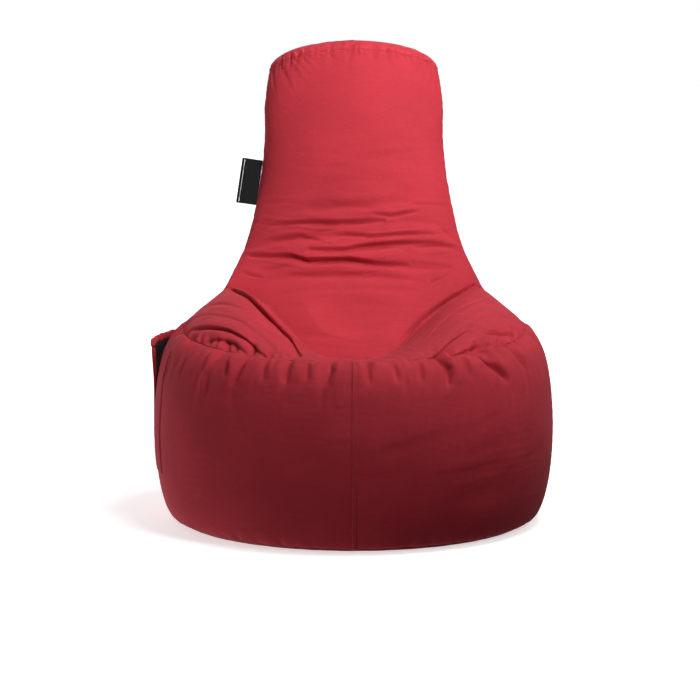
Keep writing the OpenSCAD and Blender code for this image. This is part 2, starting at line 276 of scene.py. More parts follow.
def creased(x, y, folds, start=0, deep=1.0, wide=1.0, ridge=0.5):
    """Depths with several folds added, each given as (path, depth, width) and scaled by deep and wide."""
    return sum((crease(x, y, path, deep * d, wide * w, ridge) for path, d, w in folds), start)


# ---------- seams of the cover ----------
SINK = 3.5           # how far a seam lies below the faces beside it
SIDE_LEN, CREASE_LEN, CAP_LEN, WALL_LEN = 500.0, 420.0, 300.0, 490.0


def seam(start, end, spacing, depth, reach, seed, ends, middle=SINK, width=9.0, big=(), corner=SINK, wide=(3.5, 8)):
    """A seam as a function of the place along it and the distance from it: how deep the cloth lies there, in mm."""
    at, deep, far, wide = gathers(end - start, spacing, depth, reach, seed, wide)
    at = at + start
    for place, d, r, w in big:
        at, deep, far, wide = np.append(at, place), np.append(deep, d), np.append(far, r), np.append(wide, w)

    def depth_at(along, away):
        open_up, level = np.ones_like(along), np.full_like(along, middle)
        for e in ends:
            near = np.exp(-(((along - e) / 16) ** 2))
            open_up = open_up * (1 - near)
            level = level + (corner - level) * near
        return level * np.exp(-((away / width) ** 1.3)) + pucker(along, away, (at, deep, far, wide)) * open_up

    return depth_at


def rim_at(th):
    return RIM_R * math.radians(th)


RIM = seam(rim_at(-180), rim_at(180), 28, 9.0, 34, 11, [rim_at(a) for a in (-180, -116, 0, 116, 180)],
           big=[(rim_at(-36), 13, 60, 10), (rim_at(-8), 13, 46, 9), (rim_at(4), 9, 50, 9), (rim_at(28), 11, 52, 10),
                (rim_at(44), 12, 46, 12), (rim_at(-57), 9, 40, 9), (rim_at(70), 8, 45, 10), (rim_at(-21), 7, 40, 8),
                (rim_at(13), 7, 44, 8), (rim_at(-46), 9, 40, 9), (rim_at(58), 6, 40, 9), (rim_at(-66), 7, 40, 8)])
HEM = seam(-BASE_R * math.pi, BASE_R * math.pi, 34, 3.5, 30, 12, [BASE_R * math.pi * a for a in (-1, 0, 1)])
CREASE = seam(-CREASE_LEN, CREASE_LEN, 70, 3.0, 45, 13, [-CREASE_LEN, CREASE_LEN], middle=6.0, width=9.0)
CAP_FRONT = seam(-CAP_LEN, CAP_LEN, 15, 2.6, 26, 14, [-CAP_LEN, CAP_LEN], middle=2.5)
CAP_REAR = seam(-CAP_LEN, CAP_LEN, 17, 2.4, 24, 15, [-CAP_LEN, CAP_LEN], middle=2.5)
SIDE_L = seam(20, SIDE_LEN - 20, 42, 2.2, 26, 16, [0, SIDE_LEN])
SIDE_R = seam(20, SIDE_LEN - 20, 42, 2.2, 26, 17, [0, SIDE_LEN])
FRONT = seam(20, WALL_LEN - 20, 60, 1.5, 30, 18, [0, WALL_LEN], middle=1.2)
REAR = seam(0, WALL_LEN, 900, 0.0, 10, 19, [0, WALL_LEN], middle=1.0)


def fine(start, end, spacing, depth, reach, seed, ends, wide=(2.2, 4.5), big=()):
    return seam(start, end, spacing, depth, reach, seed, ends, 0.0, corner=0.0, wide=wide, big=big)


# the small sharp tucks that are pressed in along each seam after the cloth has settled
TUCKS = {
    RIM: fine(rim_at(-180), rim_at(180), 17, 7.0, 32, 31, [rim_at(a) for a in (-180, -116, 0, 116, 180)], (3.2, 6.5),
              [(rim_at(a), d, r, w) for a, d, r, w in (
                  (-36, 7, 46, 4), (-29, 5, 34, 3.5), (-12, 4, 34, 4), (-7.5, 5, 30, 4), (4, 5, 44, 4),
                  (10, 5, 34, 3.5), (28, 5, 34, 4.5), (32, 5, 44, 4), (-20, 5, 36, 4), (17, 4, 34, 4),
                  (-42, 6, 34, 4), (38, 5, 34, 4),
                  (-46, 6, 30, 4), (-52, 5, 30, 4), (-62, 5, 34, 4), (52, 4, 38, 4), (64, 4, 34, 4), (-3, 4, 40, 3))]),
    HEM: fine(-BASE_R * math.pi, BASE_R * math.pi, 22, 2.2, 22, 32, [BASE_R * math.pi * a for a in (-1, 0, 1)], (3, 6)),
    CREASE: fine(-CREASE_LEN, CREASE_LEN, 34, 2.5, 34, 33, [-CREASE_LEN, CREASE_LEN], (3, 6)),
    CAP_FRONT: fine(-CAP_LEN, CAP_LEN, 8, 3.2, 30, 34, [-CAP_LEN, CAP_LEN]),
    CAP_REAR: fine(-CAP_LEN, CAP_LEN, 10, 2.2, 20, 35, [-CAP_LEN, CAP_LEN]),
    SIDE_L: fine(20, SIDE_LEN - 20, 19, 1.4, 16, 36, [0, SIDE_LEN]),
    SIDE_R: fine(20, SIDE_LEN - 20, 19, 1.4, 16, 37, [0, SIDE_LEN]),
    FRONT: fine(20, WALL_LEN - 20, 30, 0.7, 14, 38, [0, WALL_LEN]),
    REAR: fine(20, WALL_LEN - 20, 26, 0.5, 14, 39, [0, WALL_LEN]),
}


def doubled(g):
    """A grid with a smooth point put in between each two."""
    def rows(g):
        e = np.concatenate([2 * g[:1] - g[1:2], g, 2 * g[-1:] - g[-2:-1]])
        out = np.empty((2 * len(g) - 1,) + g.shape[1:])
        out[::2], out[1::2] = g, (9 * (e[1:-2] + e[2:-1]) - e[:-3] - e[3:]) / 16
        return out
    return np.moveaxis(rows(np.moveaxis(rows(g), 0, 1)), 0, 1)


def ruffled(x, y, box, count, slope, length, depth, width, seed):
    """Depth of many short, faint wrinkles that run about one way within a box of the plane x, y."""
    r = np.random.default_rng(seed)
    out = np.zeros_like(x)
    (x0, y0), (x1, y1) = box
    for _ in range(count):
        cx, cy = r.uniform(x0, x1), r.uniform(y0, y1)
        half, lean = r.uniform(*length) / 2, slope + r.normal(0, 0.12)
        bend = r.normal(0, 0.06) * half
        c, q = math.cos(lean), math.sin(lean)
        path = [(cx - half * c, cy - half * q), (cx + q * bend, cy - c * bend), (cx + half * c, cy + half * q)]
        near = (np.abs(x - cx) < half + 20) & (np.abs(y - cy) < half + 20)
        if near.any():
            out[near] += crease(x[near], y[near], path, r.uniform(*depth), r.uniform(*width), 0.6)
    return out


def pressed(base, p, made, core, marks):
    """The settled cloth at twice the fineness, with its tucks and the sharp bottoms of its folds pressed in."""
    b, q = doubled(base), doubled(p)
    depth = seam_depths(b, {k: (TUCKS[fn], doubled(along)) for k, (fn, along) in made.items()}) + marks(b)
    return q + unit(core(b) - q) * depth[..., None]


def seam_depths(p, made):
    """Depth of every grid point from the seams on its edges; made is {edge: (seam, place along it)}."""
    far = seam_distances(p)
    shares = {k: 1 / (far[k] + 0.01) ** 2 for k in made}
    total = sum(shares.values())
    return sum(shares[k] / total * fn(along, far[k]) for k, (fn, along) in made.items())


def held(p, inside, edge=1.0, near=0.0, reach=20.0):
    """Pull on each grid point to where it starts: all of it on the edges, and inside further in."""
    far = seam_distances(p)
    away = np.minimum.reduce(list(far.values()))
    hold = inside + near * np.exp(-((away / reach) ** 2))
    return np.where(away < 0.01, edge, hold)


COARSE = 1
# cells of the rim from the front to a side seam, and on to the rear
FRONT_CELLS, REAR_CELLS = 124 // COARSE, 68 // COARSE


def steps(a, b, n):
    return np.linspace(a, b, n // COARSE + 1)


def half_round():
    """Shares of a half turn, finer where the panels above it are."""
    k = SIDE_BEARING / 180
    return np.concatenate([np.linspace(0, k, FRONT_CELLS + 1), np.linspace(k, 1, REAR_CELLS + 1)[1:]])


def bump(x, low, high):
    """Rises from 0 at low to 1 halfway to high, and back."""
    return np.sin(np.pi * np.clip((x - low) / (high - low), 0, 1)) ** 2


def swell(p, amount, stretch=None):
    """A larger cut: pushed outwards by amount, and lengthened upwards by stretch, both in mm."""
    out = p + outward(p) * amount[..., None]
    if stretch is not None:
        out = out + stretch[..., None] * np.array([0, 0, 1.0])
    return out


# ---- the wall's two halves ----
def slot_at(t):
    """Degrees by which the wall's rear edge draws back beside the zip."""
    return 1 - ease((np.abs(t - 0.5) - 1 / 6) * 12)


# folds below the rim and the soft hollows that bead bags take between their seams: path (arc, z), depth and width
RIM_FOLDS = (([(310, 385), (345, 366), (372, 336)], 9, 8), ([(-265, 390), (-262, 368), (-266, 335)], 9, 6),
             ([(-315, 390), (-300, 368), (-296, 350)], 7, 6), ([(-56, 390), (-48, 372), (-60, 348)], 9, 7),
             ([(210, 390), (218, 370), (208, 342)], 11, 8), ([(90, 390), (94, 352)], 6, 7),
             ([(28, 390), (32, 348)], 5, 7),
             ([(-150, 390), (-146, 345)], 6, 9), ([(-205, 390), (-200, 350)], 6, 9), ([(150, 390), (146, 350)], 6, 9),
             ([(265, 388), (262, 352)], 6, 8), ([(-105, 390), (-100, 355)], 5, 8), ([(-380, 392), (-372, 350)], 6, 9),
             ([(440, 392), (452, 350)], 6, 9))
HOLLOWS = (([(-60, 300), (20, 285), (120, 305)], 2.0, 26), ([(-330, 250), (-240, 230), (-160, 245)], 1.6, 24),
           ([(380, 120), (300, 105), (200, 112)], 2.0, 22), ([(-620, 330), (-560, 250)], 2.0, 22),
           ([(560, 350), (600, 260), (590, 190)], 2.2, 20), ([(820, 330), (900, 270)], 2.2, 18),
           ([(-880, 120), (-960, 200)], 2.2, 18))


def wall_half(side):
    """Grid of one half of the wall; side is 1 for the right and -1 for the left."""
    shares = half_round() if side > 0 else 1 - half_round()[::-1]
    a, t = np.meshgrid(shares, steps(0, 1, 72), indexing="ij")
    th = side * (a if side > 0 else 1 - a) * (180 - slot_at(t))
    base = wall_pt(th, t)
    front, rear = ("first", "last") if side > 0 else ("last", "first")
    made = {"low": (HEM, BASE_R * np.radians(th)), "high": (RIM, RIM_R * np.radians(th)),
            front: (FRONT, t * WALL_LEN), rear: (REAR, t * WALL_LEN)}
    depth = creased(DRUM_R * np.radians(th), base[..., 2], RIM_FOLDS + HOLLOWS, seam_depths(base, made))
    start = base + unit(CORE - base) * depth[..., None]
    far = seam_distances(base)
    fuller = 24 * bump(far["high"], 2, 90) + 8 * bump(far["low"], 2, 60)
    hold = held(base, 0.015, near=0.02)
    rear_zone = np.exp(-((far[rear] / 30) ** 2))
    hold = np.maximum(hold, 0.6 * rear_zone)
    return base, start, swell(start, fuller * (1 - rear_zone)), hold, made


# the two folds in the seat beside the crease, of which the left one is deep: path (x, y)
DEEP_FOLDS = ([(-275, 170), (-255, 95), (-230, 35), (-200, -35), (-165, -95), (-135, -175), (-110, -320)],
              [(280, 60), (250, 10), (215, -40), (180, -110), (145, -220)])
# the groove where the backrest dives behind the right arm: path (x, z)
GROOVE = [(265, 485), (215, 460), (185, 443), (150, 419), (120, 391), (100, 371)]
# shallower folds in the seat panel, that run round the corners of the rim
SEAT_FOLDS = (([(-345, -95), (-300, -145), (-260, -185), (-225, -235), (-180, -330)], 9, 8),
              ([(-320, -185), (-285, -205), (-250, -240), (-225, -290)], 5, 8),
              ([(-340, -20), (-290, -85), (-235, -150), (-180, -250), (-150, -330)], 4, 14),
              ([(-330, 60), (-280, 0), (-230, -70)], 4, 14),
              ([(345, -125), (310, -160), (275, -192)], 10, 7),
              ([(150, -345), (175, -310), (200, -245), (225, -205), (255, -170)], 10, 9),
              ([(190, -330), (225, -290), (260, -245), (295, -215)], 6, 8),
              ([(340, -40), (290, -90), (240, -140), (190, -220)], 4, 14),
              ([(330, 50), (290, 0), (250, -60), (200, -120)], 4, 14),
              ([(-60, -330), (-30, -250), (-10, -190)], 3, 14), ([(70, -335), (60, -260)], 3, 14))


def seat_grid():
    s, v = np.meshgrid(steps(-1, 1, 248), steps(0, 1, 68), indexing="ij")
    base = seat_pt(s, v)
    made = {"low": (RIM, rim_at(SIDE_BEARING) * s), "high": (CREASE, CREASE_LEN * s),
            "first": (SIDE_L, 0 * v - 1), "last": (SIDE_R, 0 * v - 1)}
    x, y = base[..., 0], base[..., 1]
    depth = creased(x, y, SEAT_FOLDS, seam_depths(base, made))
    depth = creased(x, y, [(path, d, 7) for path, d in zip(DEEP_FOLDS, (18, 7))], depth)
    start = base + unit(mix(CORE, CREASE_CORE, v[..., None]) - base) * depth[..., None]
    far = seam_distances(base)
    fuller = 16 * bump(far["low"], 2, 90) + 8 * bump(far["high"], 0, 90)
    return base, start, swell(start, fuller), held(base, 0.02, near=0.02), made


# wrinkles across the small of the back: path (x, z), depth and width
BACK_FOLDS = (([(-180, 615), (-115, 620), (-40, 620), (65, 625)], 6.5, 6.0), ([(40, 640), (80, 635), (145, 645)], 4, 6),
              ([(-20, 595), (40, 590), (105, 595), (170, 595)], 6.0, 6.0),
              ([(-95, 560), (-20, 560), (25, 570), (90, 575), (175, 575)], 6.5, 6.5),
              ([(-230, 545), (-135, 545), (-100, 535), (-10, 540), (40, 530), (115, 525)], 8.0, 7.0),
              ([(135, 565), (180, 570), (225, 565)], 4, 6), ([(-245, 510), (-205, 500)], 5, 7),
              ([(170, 485), (210, 505)], 4, 8), ([(-180, 580), (-120, 590), (-70, 580)], 4, 8),
              ([(-120, 505), (-40, 500), (60, 500)], 3, 16), ([(-60, 655), (20, 660), (110, 670)], 2.5, 8),
              ([(-150, 650), (-90, 655), (-20, 650)], 2, 9), ([(-110, 440), (0, 430), (110, 440)], 2.5, 22),
              ([(-150, 470), (-60, 460), (30, 470)], 2.5, 18), ([(-80, 395), (30, 390), (90, 400)], 2.5, 20),
              ([(-120, 700), (-20, 710), (80, 705)], 1.2, 22))


def back_grid():
    s, v = np.meshgrid(steps(-1, 1, 136), steps(0, 1, 140), indexing="ij")
    base = back_pt(s, v)
    made = {"low": (CREASE, CREASE_LEN * s), "high": (CAP_FRONT, CAP_LEN * s),
            "first": (SIDE_L, SIDE_LEN * v), "last": (SIDE_R, SIDE_LEN * v)}
    depth = creased(base[..., 0], base[..., 2], BACK_FOLDS, seam_depths(base, made), ridge=0.7)
    start = base + unit(ring_core(v) - base) * depth[..., None]
    far = seam_distances(base)
    z = base[..., 2]
    extra = 14 * ease((z - 490) / 170) * np.clip(1 - np.abs(s) ** 6, 0, 1)
    fuller = 4 * bump(far["high"], 1, 50) + 3 * bump(np.minimum(far["first"], far["last"]), 1, 50)
    hold = held(base, 0.02, near=0.03)
    return base, start, swell(start, fuller, extra), hold, made


# broad shallow folds in the rear panel: path (x, z), depth and width
REAR_FOLDS = (([(-200, 640), (-120, 610), (-40, 600)], 3.5, 16), ([(200, 560), (130, 580), (20, 575)], 3.5, 16),
              ([(-160, 760), (-60, 745), (60, 760)], 2.5, 20), ([(120, 690), (170, 640), (200, 600)], 3, 16),
              ([(-140, 520), (0, 508), (140, 522)], 4, 14), ([(60, 850), (130, 820)], 2, 16))


def rear_grid():
    s, w = np.meshgrid(steps(1, -1, 136), steps(0, 1, 90), indexing="ij")
    low, v = np.clip(w / LOW_SHARE, 0, 1), (w - LOW_SHARE) / (1 - LOW_SHARE)
    below = (w < LOW_SHARE)[..., None]
    base = np.where(below, low_rear_pt(s, low), rear_pt(s, np.clip(v, 0, 1)))
    made = {"low": (RIM, RIM_R * np.radians(np.where(s < 0, -1, 1) * (180 - (180 - SIDE_BEARING) * np.abs(s)))),
            "high": (CAP_REAR, CAP_LEN * s), "first": (SIDE_R, SIDE_LEN * v), "last": (SIDE_L, SIDE_LEN * v)}
    x, z = base[..., 0], base[..., 2]
    depth = creased(x, z, REAR_FOLDS, seam_depths(base, made))
    core = np.where(below, mix(CORE, CREASE_CORE, low[..., None]), ring_core(np.clip(v, 0, 1)))
    start = base + unit(core - base) * depth[..., None]
    far = seam_distances(base)
    fuller = 7 * bump(far["low"], 1, 60) + 4 * bump(far["high"], 1, 50)
    extra = 7 * ease((z - 500) / 120)
    tabs = np.exp(-(((np.abs(x) - 62) / 30) ** 2) - ((z - 925) / 45) ** 2)
    hold = np.maximum(held(base, 0.02, near=0.03), 0.7 * tabs)
    return base, start, swell(start, fuller * (1 - tabs), extra), hold, made


def cap_grid():
    s, q = np.meshgrid(steps(-1, 1, 136), steps(0, 1, 36), indexing="ij")
    base = cap_pt(s, q)
    far = seam_distances(base)
    a, b = 1 / (far["low"] + 0.01) ** 2, 1 / (far["high"] + 0.01) ** 2
    depth = (a * CAP_FRONT(CAP_LEN * s, far["low"]) + b * CAP_REAR(CAP_LEN * s, far["high"])) / (a + b)
    folds = ([(-110, 300), (-20, 316), (90, 306)], 2.5, 22), ([(-40, 350), (60, 345)], 2, 18)
    depth = creased(base[..., 0], base[..., 1], folds, depth)
    made = {"low": (CAP_FRONT, CAP_LEN * s), "high": (CAP_REAR, CAP_LEN * s)}
    return base, base + unit(ring_core(1 + 0 * q) - base) * depth[..., None], made


# ---------- materials ----------
def shader(name, colour, rough, sheen=0.0, tint=(1, 1, 1), spec=0.5, metal=0.0):
    m = bpy.data.materials.new(name)
    m.use_nodes = True
    nt = m.node_tree
    b = nt.nodes["Principled BSDF"]
    for k, v in (("Base Color", (*colour, 1)), ("Roughness", rough), ("Metallic", metal), ("Specular IOR Level", spec),
                 ("Sheen Weight", sheen), ("Sheen Roughness", 0.45), ("Sheen Tint", (*tint, 1))):
        b.inputs[k].default_value = v
    return m, nt, b


def node(nt, kind, **values):
    n = nt.nodes.new(kind)
    for k, v in values.items():
        if hasattr(n, k):
            setattr(n, k, v)
        else:
            n.inputs[k.replace("_", " ")].default_value = v
    return n


def noise(nt, scale, detail=2.0, stretch=None):
    """Noise in the object's own coordinates, drawn out along an axis if stretch is given."""
    co = nt.nodes.new("ShaderNodeTexCoord")
    mp = nt.nodes.new("ShaderNodeMapping")
    if stretch:
        mp.inputs["Scale"].default_value = stretch
    nt.links.new(co.outputs["Object"], mp.inputs["Vector"])
    n = node(nt, "ShaderNodeTexNoise", Scale=scale, Detail=detail, Roughness=0.5)
    nt.links.new(mp.outputs["Vector"], n.inputs["Vector"])
    return n.outputs["Fac"]


def tinted(nt, fac, dark, light, low=0.3, high=0.7):
    r = nt.nodes.new("ShaderNodeValToRGB")
    r.color_ramp.elements[0].position, r.color_ramp.elements[1].position = low, high
    r.color_ramp.elements[0].color, r.color_ramp.elements[1].color = (*dark, 1), (*light, 1)
    nt.links.new(fac, r.inputs["Fac"])
    return r.outputs["Color"]


def multiply(nt, a, b, fac=1.0):
    m = node(nt, "ShaderNodeMix", data_type="RGBA", blend_type="MULTIPLY")
    m.inputs["Factor"].default_value = fac
    nt.links.new(a, m.inputs["A"])
    nt.links.new(b, m.inputs["B"])
    return m.outputs["Result"]


def bumped(nt, b, height, strength, distance):
    n = node(nt, "ShaderNodeBump", Strength=strength, Distance=distance)
    nt.links.new(height, n.inputs["Height"])
    if b.inputs["Normal"].is_linked:
        nt.links.new(b.inputs["Normal"].links[0].from_socket, n.inputs["Normal"])
    nt.links.new(n.outputs["Normal"], b.inputs["Normal"])


def cloth_material(name, colour, rough=0.8, sheen=0.08, spec=0.12):
    """Plain-woven cover cloth: slubs that run round and up it, a fine weave and a little mottling."""
    m, nt, b = shader(name, colour, rough, sheen, (1.0, 0.22, 0.27), spec)
    c = np.array(colour)
    mottle = tinted(nt, noise(nt, 9, 4), c * 0.90, c * 1.06)
    weft = tinted(nt, noise(nt, 620, 1, (0.09, 0.09, 1.0)), (0.9, 0.9, 0.9), (1, 1, 1))
    warp = tinted(nt, noise(nt, 620, 1, (1.0, 1.0, 0.06)), (0.93, 0.93, 0.93), (1, 1, 1))
    nt.links.new(multiply(nt, multiply(nt, mottle, weft), warp), b.inputs["Base Color"])
    r = nt.nodes.new("ShaderNodeMapRange")
    r.inputs["To Min"].default_value, r.inputs["To Max"].default_value = rough - 0.06, rough + 0.08
    nt.links.new(noise(nt, 140, 3), r.inputs["Value"])
    nt.links.new(r.outputs["Result"], b.inputs["Roughness"])
    bumped(nt, b, noise(nt, 900, 2, (0.25, 0.25, 1.0)), 0.22, 0.0004)
    bumped(nt, b, noise(nt, 900, 2, (1.0, 1.0, 0.2)), 0.18, 0.0004)
    bumped(nt, b, noise(nt, 38, 3), 0.10, 0.003)
    return m


def webbing_material(name, colour):
    """Ribbed polyester webbing."""
    m, nt, b = shader(name, colour, 0.6, 0.25, (1, 0.8, 0.8), 0.35)
    c = np.array(colour)
    rib = noise(nt, 500, 1, (1, 1, 0.5))
    nt.links.new(tinted(nt, rib, c * 0.7, c * 1.12), b.inputs["Base Color"])
    bumped(nt, b, rib, 0.5, 0.0006)
    return m


def plain_material(name, colour, rough, scale, vary=0.1, bump=0.1, sheen=0.0, spec=0.5, metal=0.0):
    """A moulded, cast or knitted finish with a little of its own unevenness."""
    m, nt, b = shader(name, colour, rough, sheen, (1, 1, 1), spec, metal)
    c = np.array(colour)
    nt.links.new(tinted(nt, noise(nt, scale, 3), c * (1 - vary), c * (1 + vary)), b.inputs["Base Color"])
    bumped(nt, b, noise(nt, scale * 3, 2), bump, 0.0004)
    return m


RED = (0.47, 0.032, 0.047)
DEEP = (0.42, 0.028, 0.041)
COVER = cloth_material("cover_cloth", RED)
TRIM = cloth_material("trim_cloth", DEEP)
THREAD = plain_material("thread", (0.36, 0.014, 0.022), 0.55, 900, 0.15, 0.2, 0.2)
UNDER = plain_material("base_cloth", (0.30, 0.013, 0.022), 0.8, 500, 0.15, 0.3, 0.2)
LINER = plain_material("liner_cloth", (0.78, 0.77, 0.74), 0.85, 400, 0.05, 0.2, 0.2)
BEADS = plain_material("beads", (0.88, 0.88, 0.86), 0.7, 250, 0.06, 0.9)
LABEL = plain_material("label_cloth", (0.008, 0.008, 0.009), 0.8, 900, 0.35, 0.35, 0.0, 0.12)
LABEL_LINE = plain_material("label_line", (0.72, 0.72, 0.72), 0.6, 900, 0.1, 0.2)
WEBBING = webbing_material("webbing", (0.40, 0.017, 0.028))
TAPE = webbing_material("zip_tape", (0.30, 0.014, 0.022))
NYLON = plain_material("zip_nylon", (0.022, 0.021, 0.022), 0.38, 300, 0.2, 0.1, 0.0, 0.5)
METAL = plain_material("zip_metal", (0.42, 0.42, 0.44), 0.32, 200, 0.12, 0.08, 0.0, 0.5, 1.0)


# ---------- pieces ----------
def put(obj, material, body="cover", nodes=(), smooth=True):
    obj.data.materials.clear()
    obj.data.materials.append(material)
    if smooth:
        obj.data.shade_smooth()
    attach(obj, body)
    if nodes:
        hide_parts(*nodes)
    return obj


def thicken(obj, thickness, levels=1, offset=-1.0):
    if thickness:
        s = obj.modifiers.new("Thickness", "SOLIDIFY")
        s.thickness = thickness * MM
        s.offset = offset
        s.use_quality_normals = True
    if levels:
        s = obj.modifiers.new("Smooth", "SUBSURF")
        s.levels = s.render_levels = levels
    return obj


def edge_row(p, edge):
    return {"first": p[:1], "last": p[-1:], "low": p[:, :1], "high": p[:, -1:]}[edge]


def folded_edge(p, edge, ways, turn=1.4):
    """Adds a row that turns an edge of a grid under."""
    fold = edge_row(p, edge) + turn * ways
    return np.concatenate([fold, p] if edge in ("low", "first") else [p, fold], 1 if edge in ("low", "high") else 0)


DRAW_BACK, TURN_IN, COVER_T = 0.4, 8.0, 0.9


def tucked(p, core_of, ways):
    """A grid whose edges draw back a little from their seams and turn in, as a sewn panel's do."""
    q = p.copy()
    for a, b in ((0, 1), (-1, -2)):
        q[a] = q[a] + DRAW_BACK * unit(p[b] - p[a])
    for a, b in ((0, 1), (-1, -2)):
        q[:, a] = q[:, a] + DRAW_BACK * unit(p[:, b] - p[:, a])
    step = unit(core_of(q) - q)
    for e in ("first", "last", "low", "high"):
        q = folded_edge(q, e, ways.get(e, edge_row(step, e)), TURN_IN)
        step = folded_edge(step, e, 0.0)
    return q


def sewn(name, p, core_of, node_name, flat, rests, **ways):
    """A cover panel as a piece: its turned-in grid, thickened and smoothed.

    ways gives the direction in which an edge turns, for one that doesn't turn towards the core.
    """
    q = tucked(p, core_of, ways)
    obj = mesh_from(name, q, faces_of(*q.shape[:2]))
    put(obj, COVER, nodes=(node_name,))
    thicken(obj, COVER_T, 0)


def at_grid(p, i, j):
    """Points and outward normals on a grid at fractional indices."""
    n, m = p.shape[:2]
    nrm = outward(p)
    i, j = np.clip(i, 0, n - 1.001), np.clip(j, 0, m - 1.001)
    a, b = i.astype(int), j.astype(int)
    fa, fb = (i - a)[..., None], (j - b)[..., None]

    def pick(g):
        return mix(mix(g[a, b], g[a + 1, b], fa), mix(g[a, b + 1], g[a + 1, b + 1], fa), fb)
    return pick(p), unit(pick(nrm))


def resampled(pts, nrm, pitch):
    """Evenly spaced points, directions and normals along a path."""
    d = np.linalg.norm(np.diff(pts, axis=0), axis=1)
    s = np.concatenate([[0], np.cumsum(d)])
    x = np.arange(pitch / 2, s[-1], pitch)
    out = np.stack([np.interp(x, s, pts[:, k]) for k in range(3)], 1)
    n = unit(np.stack([np.interp(x, s, nrm[:, k]) for k in range(3)], 1))
    return out, unit(np.gradient(out, axis=0)), n


def stitch_row(pts, nrm, pitch=4.2, length=3.0, width=0.9, lift=0.25):
    """Points and faces of a row of stitches, each a small lozenge lying on the cloth."""
    c, t, n = resampled(pts, nrm, pitch)
    side = unit(np.cross(t, n))
    ring = [(math.cos(a), math.sin(a)) for a in np.arange(6) * math.pi / 3]
    shape = [(-0.5, 0, 0)] + [(-0.3, u, w) for u, w in ring] + [(0.3, u, w) for u, w in ring] + [(0.5, 0, 0)]
    verts = [c + n * (lift + 0.5 * width * w * 0.8) + t * (length * a) + side * (0.5 * width * u) for a, u, w in shape]
    v = np.stack(verts, 1)
    f = []
    for k in range(6):
        b = (k + 1) % 6
        f += [(0, 1 + b, 1 + k, 1 + k), (1 + k, 1 + b, 7 + b, 7 + k), (7 + k, 7 + b, 13, 13)]
    return v, f


def stitches(name, rows, body="cover", slot="cover_dark", **kw):
    """One piece from rows of stitches; each row is (points, normals)."""
    verts, faces, start = [], [], 0
    for pts, nrm in rows:
        v, f = stitch_row(pts, nrm, **kw)
        for k in range(len(v)):
            faces += [[start + 14 * k + i for i in dict.fromkeys(q)] for q in f]
        verts.append(v.reshape(-1, 3))
        start += 14 * len(v)
    put(mesh_from(name, np.concatenate(verts), faces), THREAD, body)


def row_beside(p, edge, away):
    """A line on a grid at a distance in mm from one of its edges, as (points, normals)."""
    n, m = p.shape[:2]
    far = seam_distances(p)[edge]
    if edge in ("low", "high"):
        i = np.arange(n).astype(float)
        j = np.array([np.interp(away, far[k], np.arange(m)) if edge == "low" else
                      m - 1 - np.interp(away, far[k][::-1], np.arange(m)) for k in range(n)])
    else:
        j = np.arange(m).astype(float)
        i = np.array([np.interp(away, far[:, k], np.arange(n)) if edge == "first" else
                      n - 1 - np.interp(away, far[::-1, k], np.arange(n)) for k in range(m)])
    return at_grid(p, i, j)


# ---------- the cover ----------
left, right = wall_half(-1), wall_half(1)
seat, back, rear = seat_grid(), back_grid(), rear_grid()
wall_l, wall_r = settled(left), settled(right)
seat_p, back_p, rear_p = settled(seat), settled(back), settled(rear)
cap_base, cap_p, cap_made = cap_grid()


def wall_core_of(q):
    return CORE + 0 * q


def cap_core_of(q):
    return ring_core(np.array(1.0)) + 0 * q


def low_core_of(q):
    return mix(CORE, CREASE_CORE, np.linspace(0, 1, q.shape[1])[None, :, None]) + 0 * q


def ring_core_of(q):
    return ring_core(np.linspace(0, 1, q.shape[1]))[None] + 0 * q


def rear_core_of(q):
    w = np.linspace(0, 1, q.shape[1])
    low = mix(CORE, CREASE_CORE, np.clip(w / LOW_SHARE, 0, 1)[:, None])
    high = ring_core(np.clip((w - LOW_SHARE) / (1 - LOW_SHARE), 0, 1))
    return np.where((w < LOW_SHARE)[:, None], low, high)[None] + 0 * q


def wall_marks(b):
    arc, z = DRUM_R * np.arctan2(b[..., 0], -b[..., 1]), b[..., 2]
    out = creased(arc, z, RIM_FOLDS, deep=0.5, wide=0.45, ridge=0.8)
    out = out + ruffled(arc, z, ((-700, 310), (700, 380)), 56, 1.45, (25, 70), (0.7, 2.2), (4, 9), 51)
    return out + ruffled(arc, z, ((-1300, 40), (1300, 330)), 70, 0.25, (60, 190), (0.25, 0.8), (7, 15), 52)


def seat_marks(b):
    x, y = b[..., 0], b[..., 1]
    out = creased(x, y, SEAT_FOLDS, deep=0.45, wide=0.32, ridge=0.8)
    out = out + sum(crease(x, y, path, d, 3.4, 0.3) for path, d in zip(DEEP_FOLDS, (12, 3)))
    for k, side in enumerate((-1, 1)):
        out = out + ruffled(side * x, y, ((140, -300), (350, 60)), 26, 0.93, (70, 160), (0.4, 1.4), (5, 11), 53 + k)
    return out


def back_marks(b):
    x, z = b[..., 0], b[..., 2]
    out = creased(x, z, [fold for fold in BACK_FOLDS if fold[1] > 3.5], deep=0.8, wide=0.4, ridge=0.9)
    out = out + ruffled(x, z, ((-190, 490), (190, 665)), 60, 0.03, (35, 130), (0.4, 1.7), (2.6, 6), 55)
    out = out + ruffled(x, z, ((-150, 660), (160, 800)), 22, 0.05, (50, 140), (0.2, 0.6), (4, 9), 56)
    return out + ruffled(x, z, ((-140, 350), (140, 490)), 18, 0.02, (50, 150), (0.3, 0.9), (6, 13), 57)


def rear_marks(b):
    x, z = b[..., 0], b[..., 2]
    out = ruffled(x, z, ((-220, 470), (220, 700)), 44, 0.02, (50, 150), (0.4, 1.4), (4, 9), 58)
    return out + ruffled(x, z, ((-170, 700), (170, 960)), 16, 0.1, (50, 130), (0.2, 0.7), (5, 11), 59)


def cap_marks(b):
    return ruffled(b[..., 0], b[..., 1], ((-150, 250), (150, 380)), 26, 1.4, (20, 60), (0.3, 1.1), (4, 8), 60)


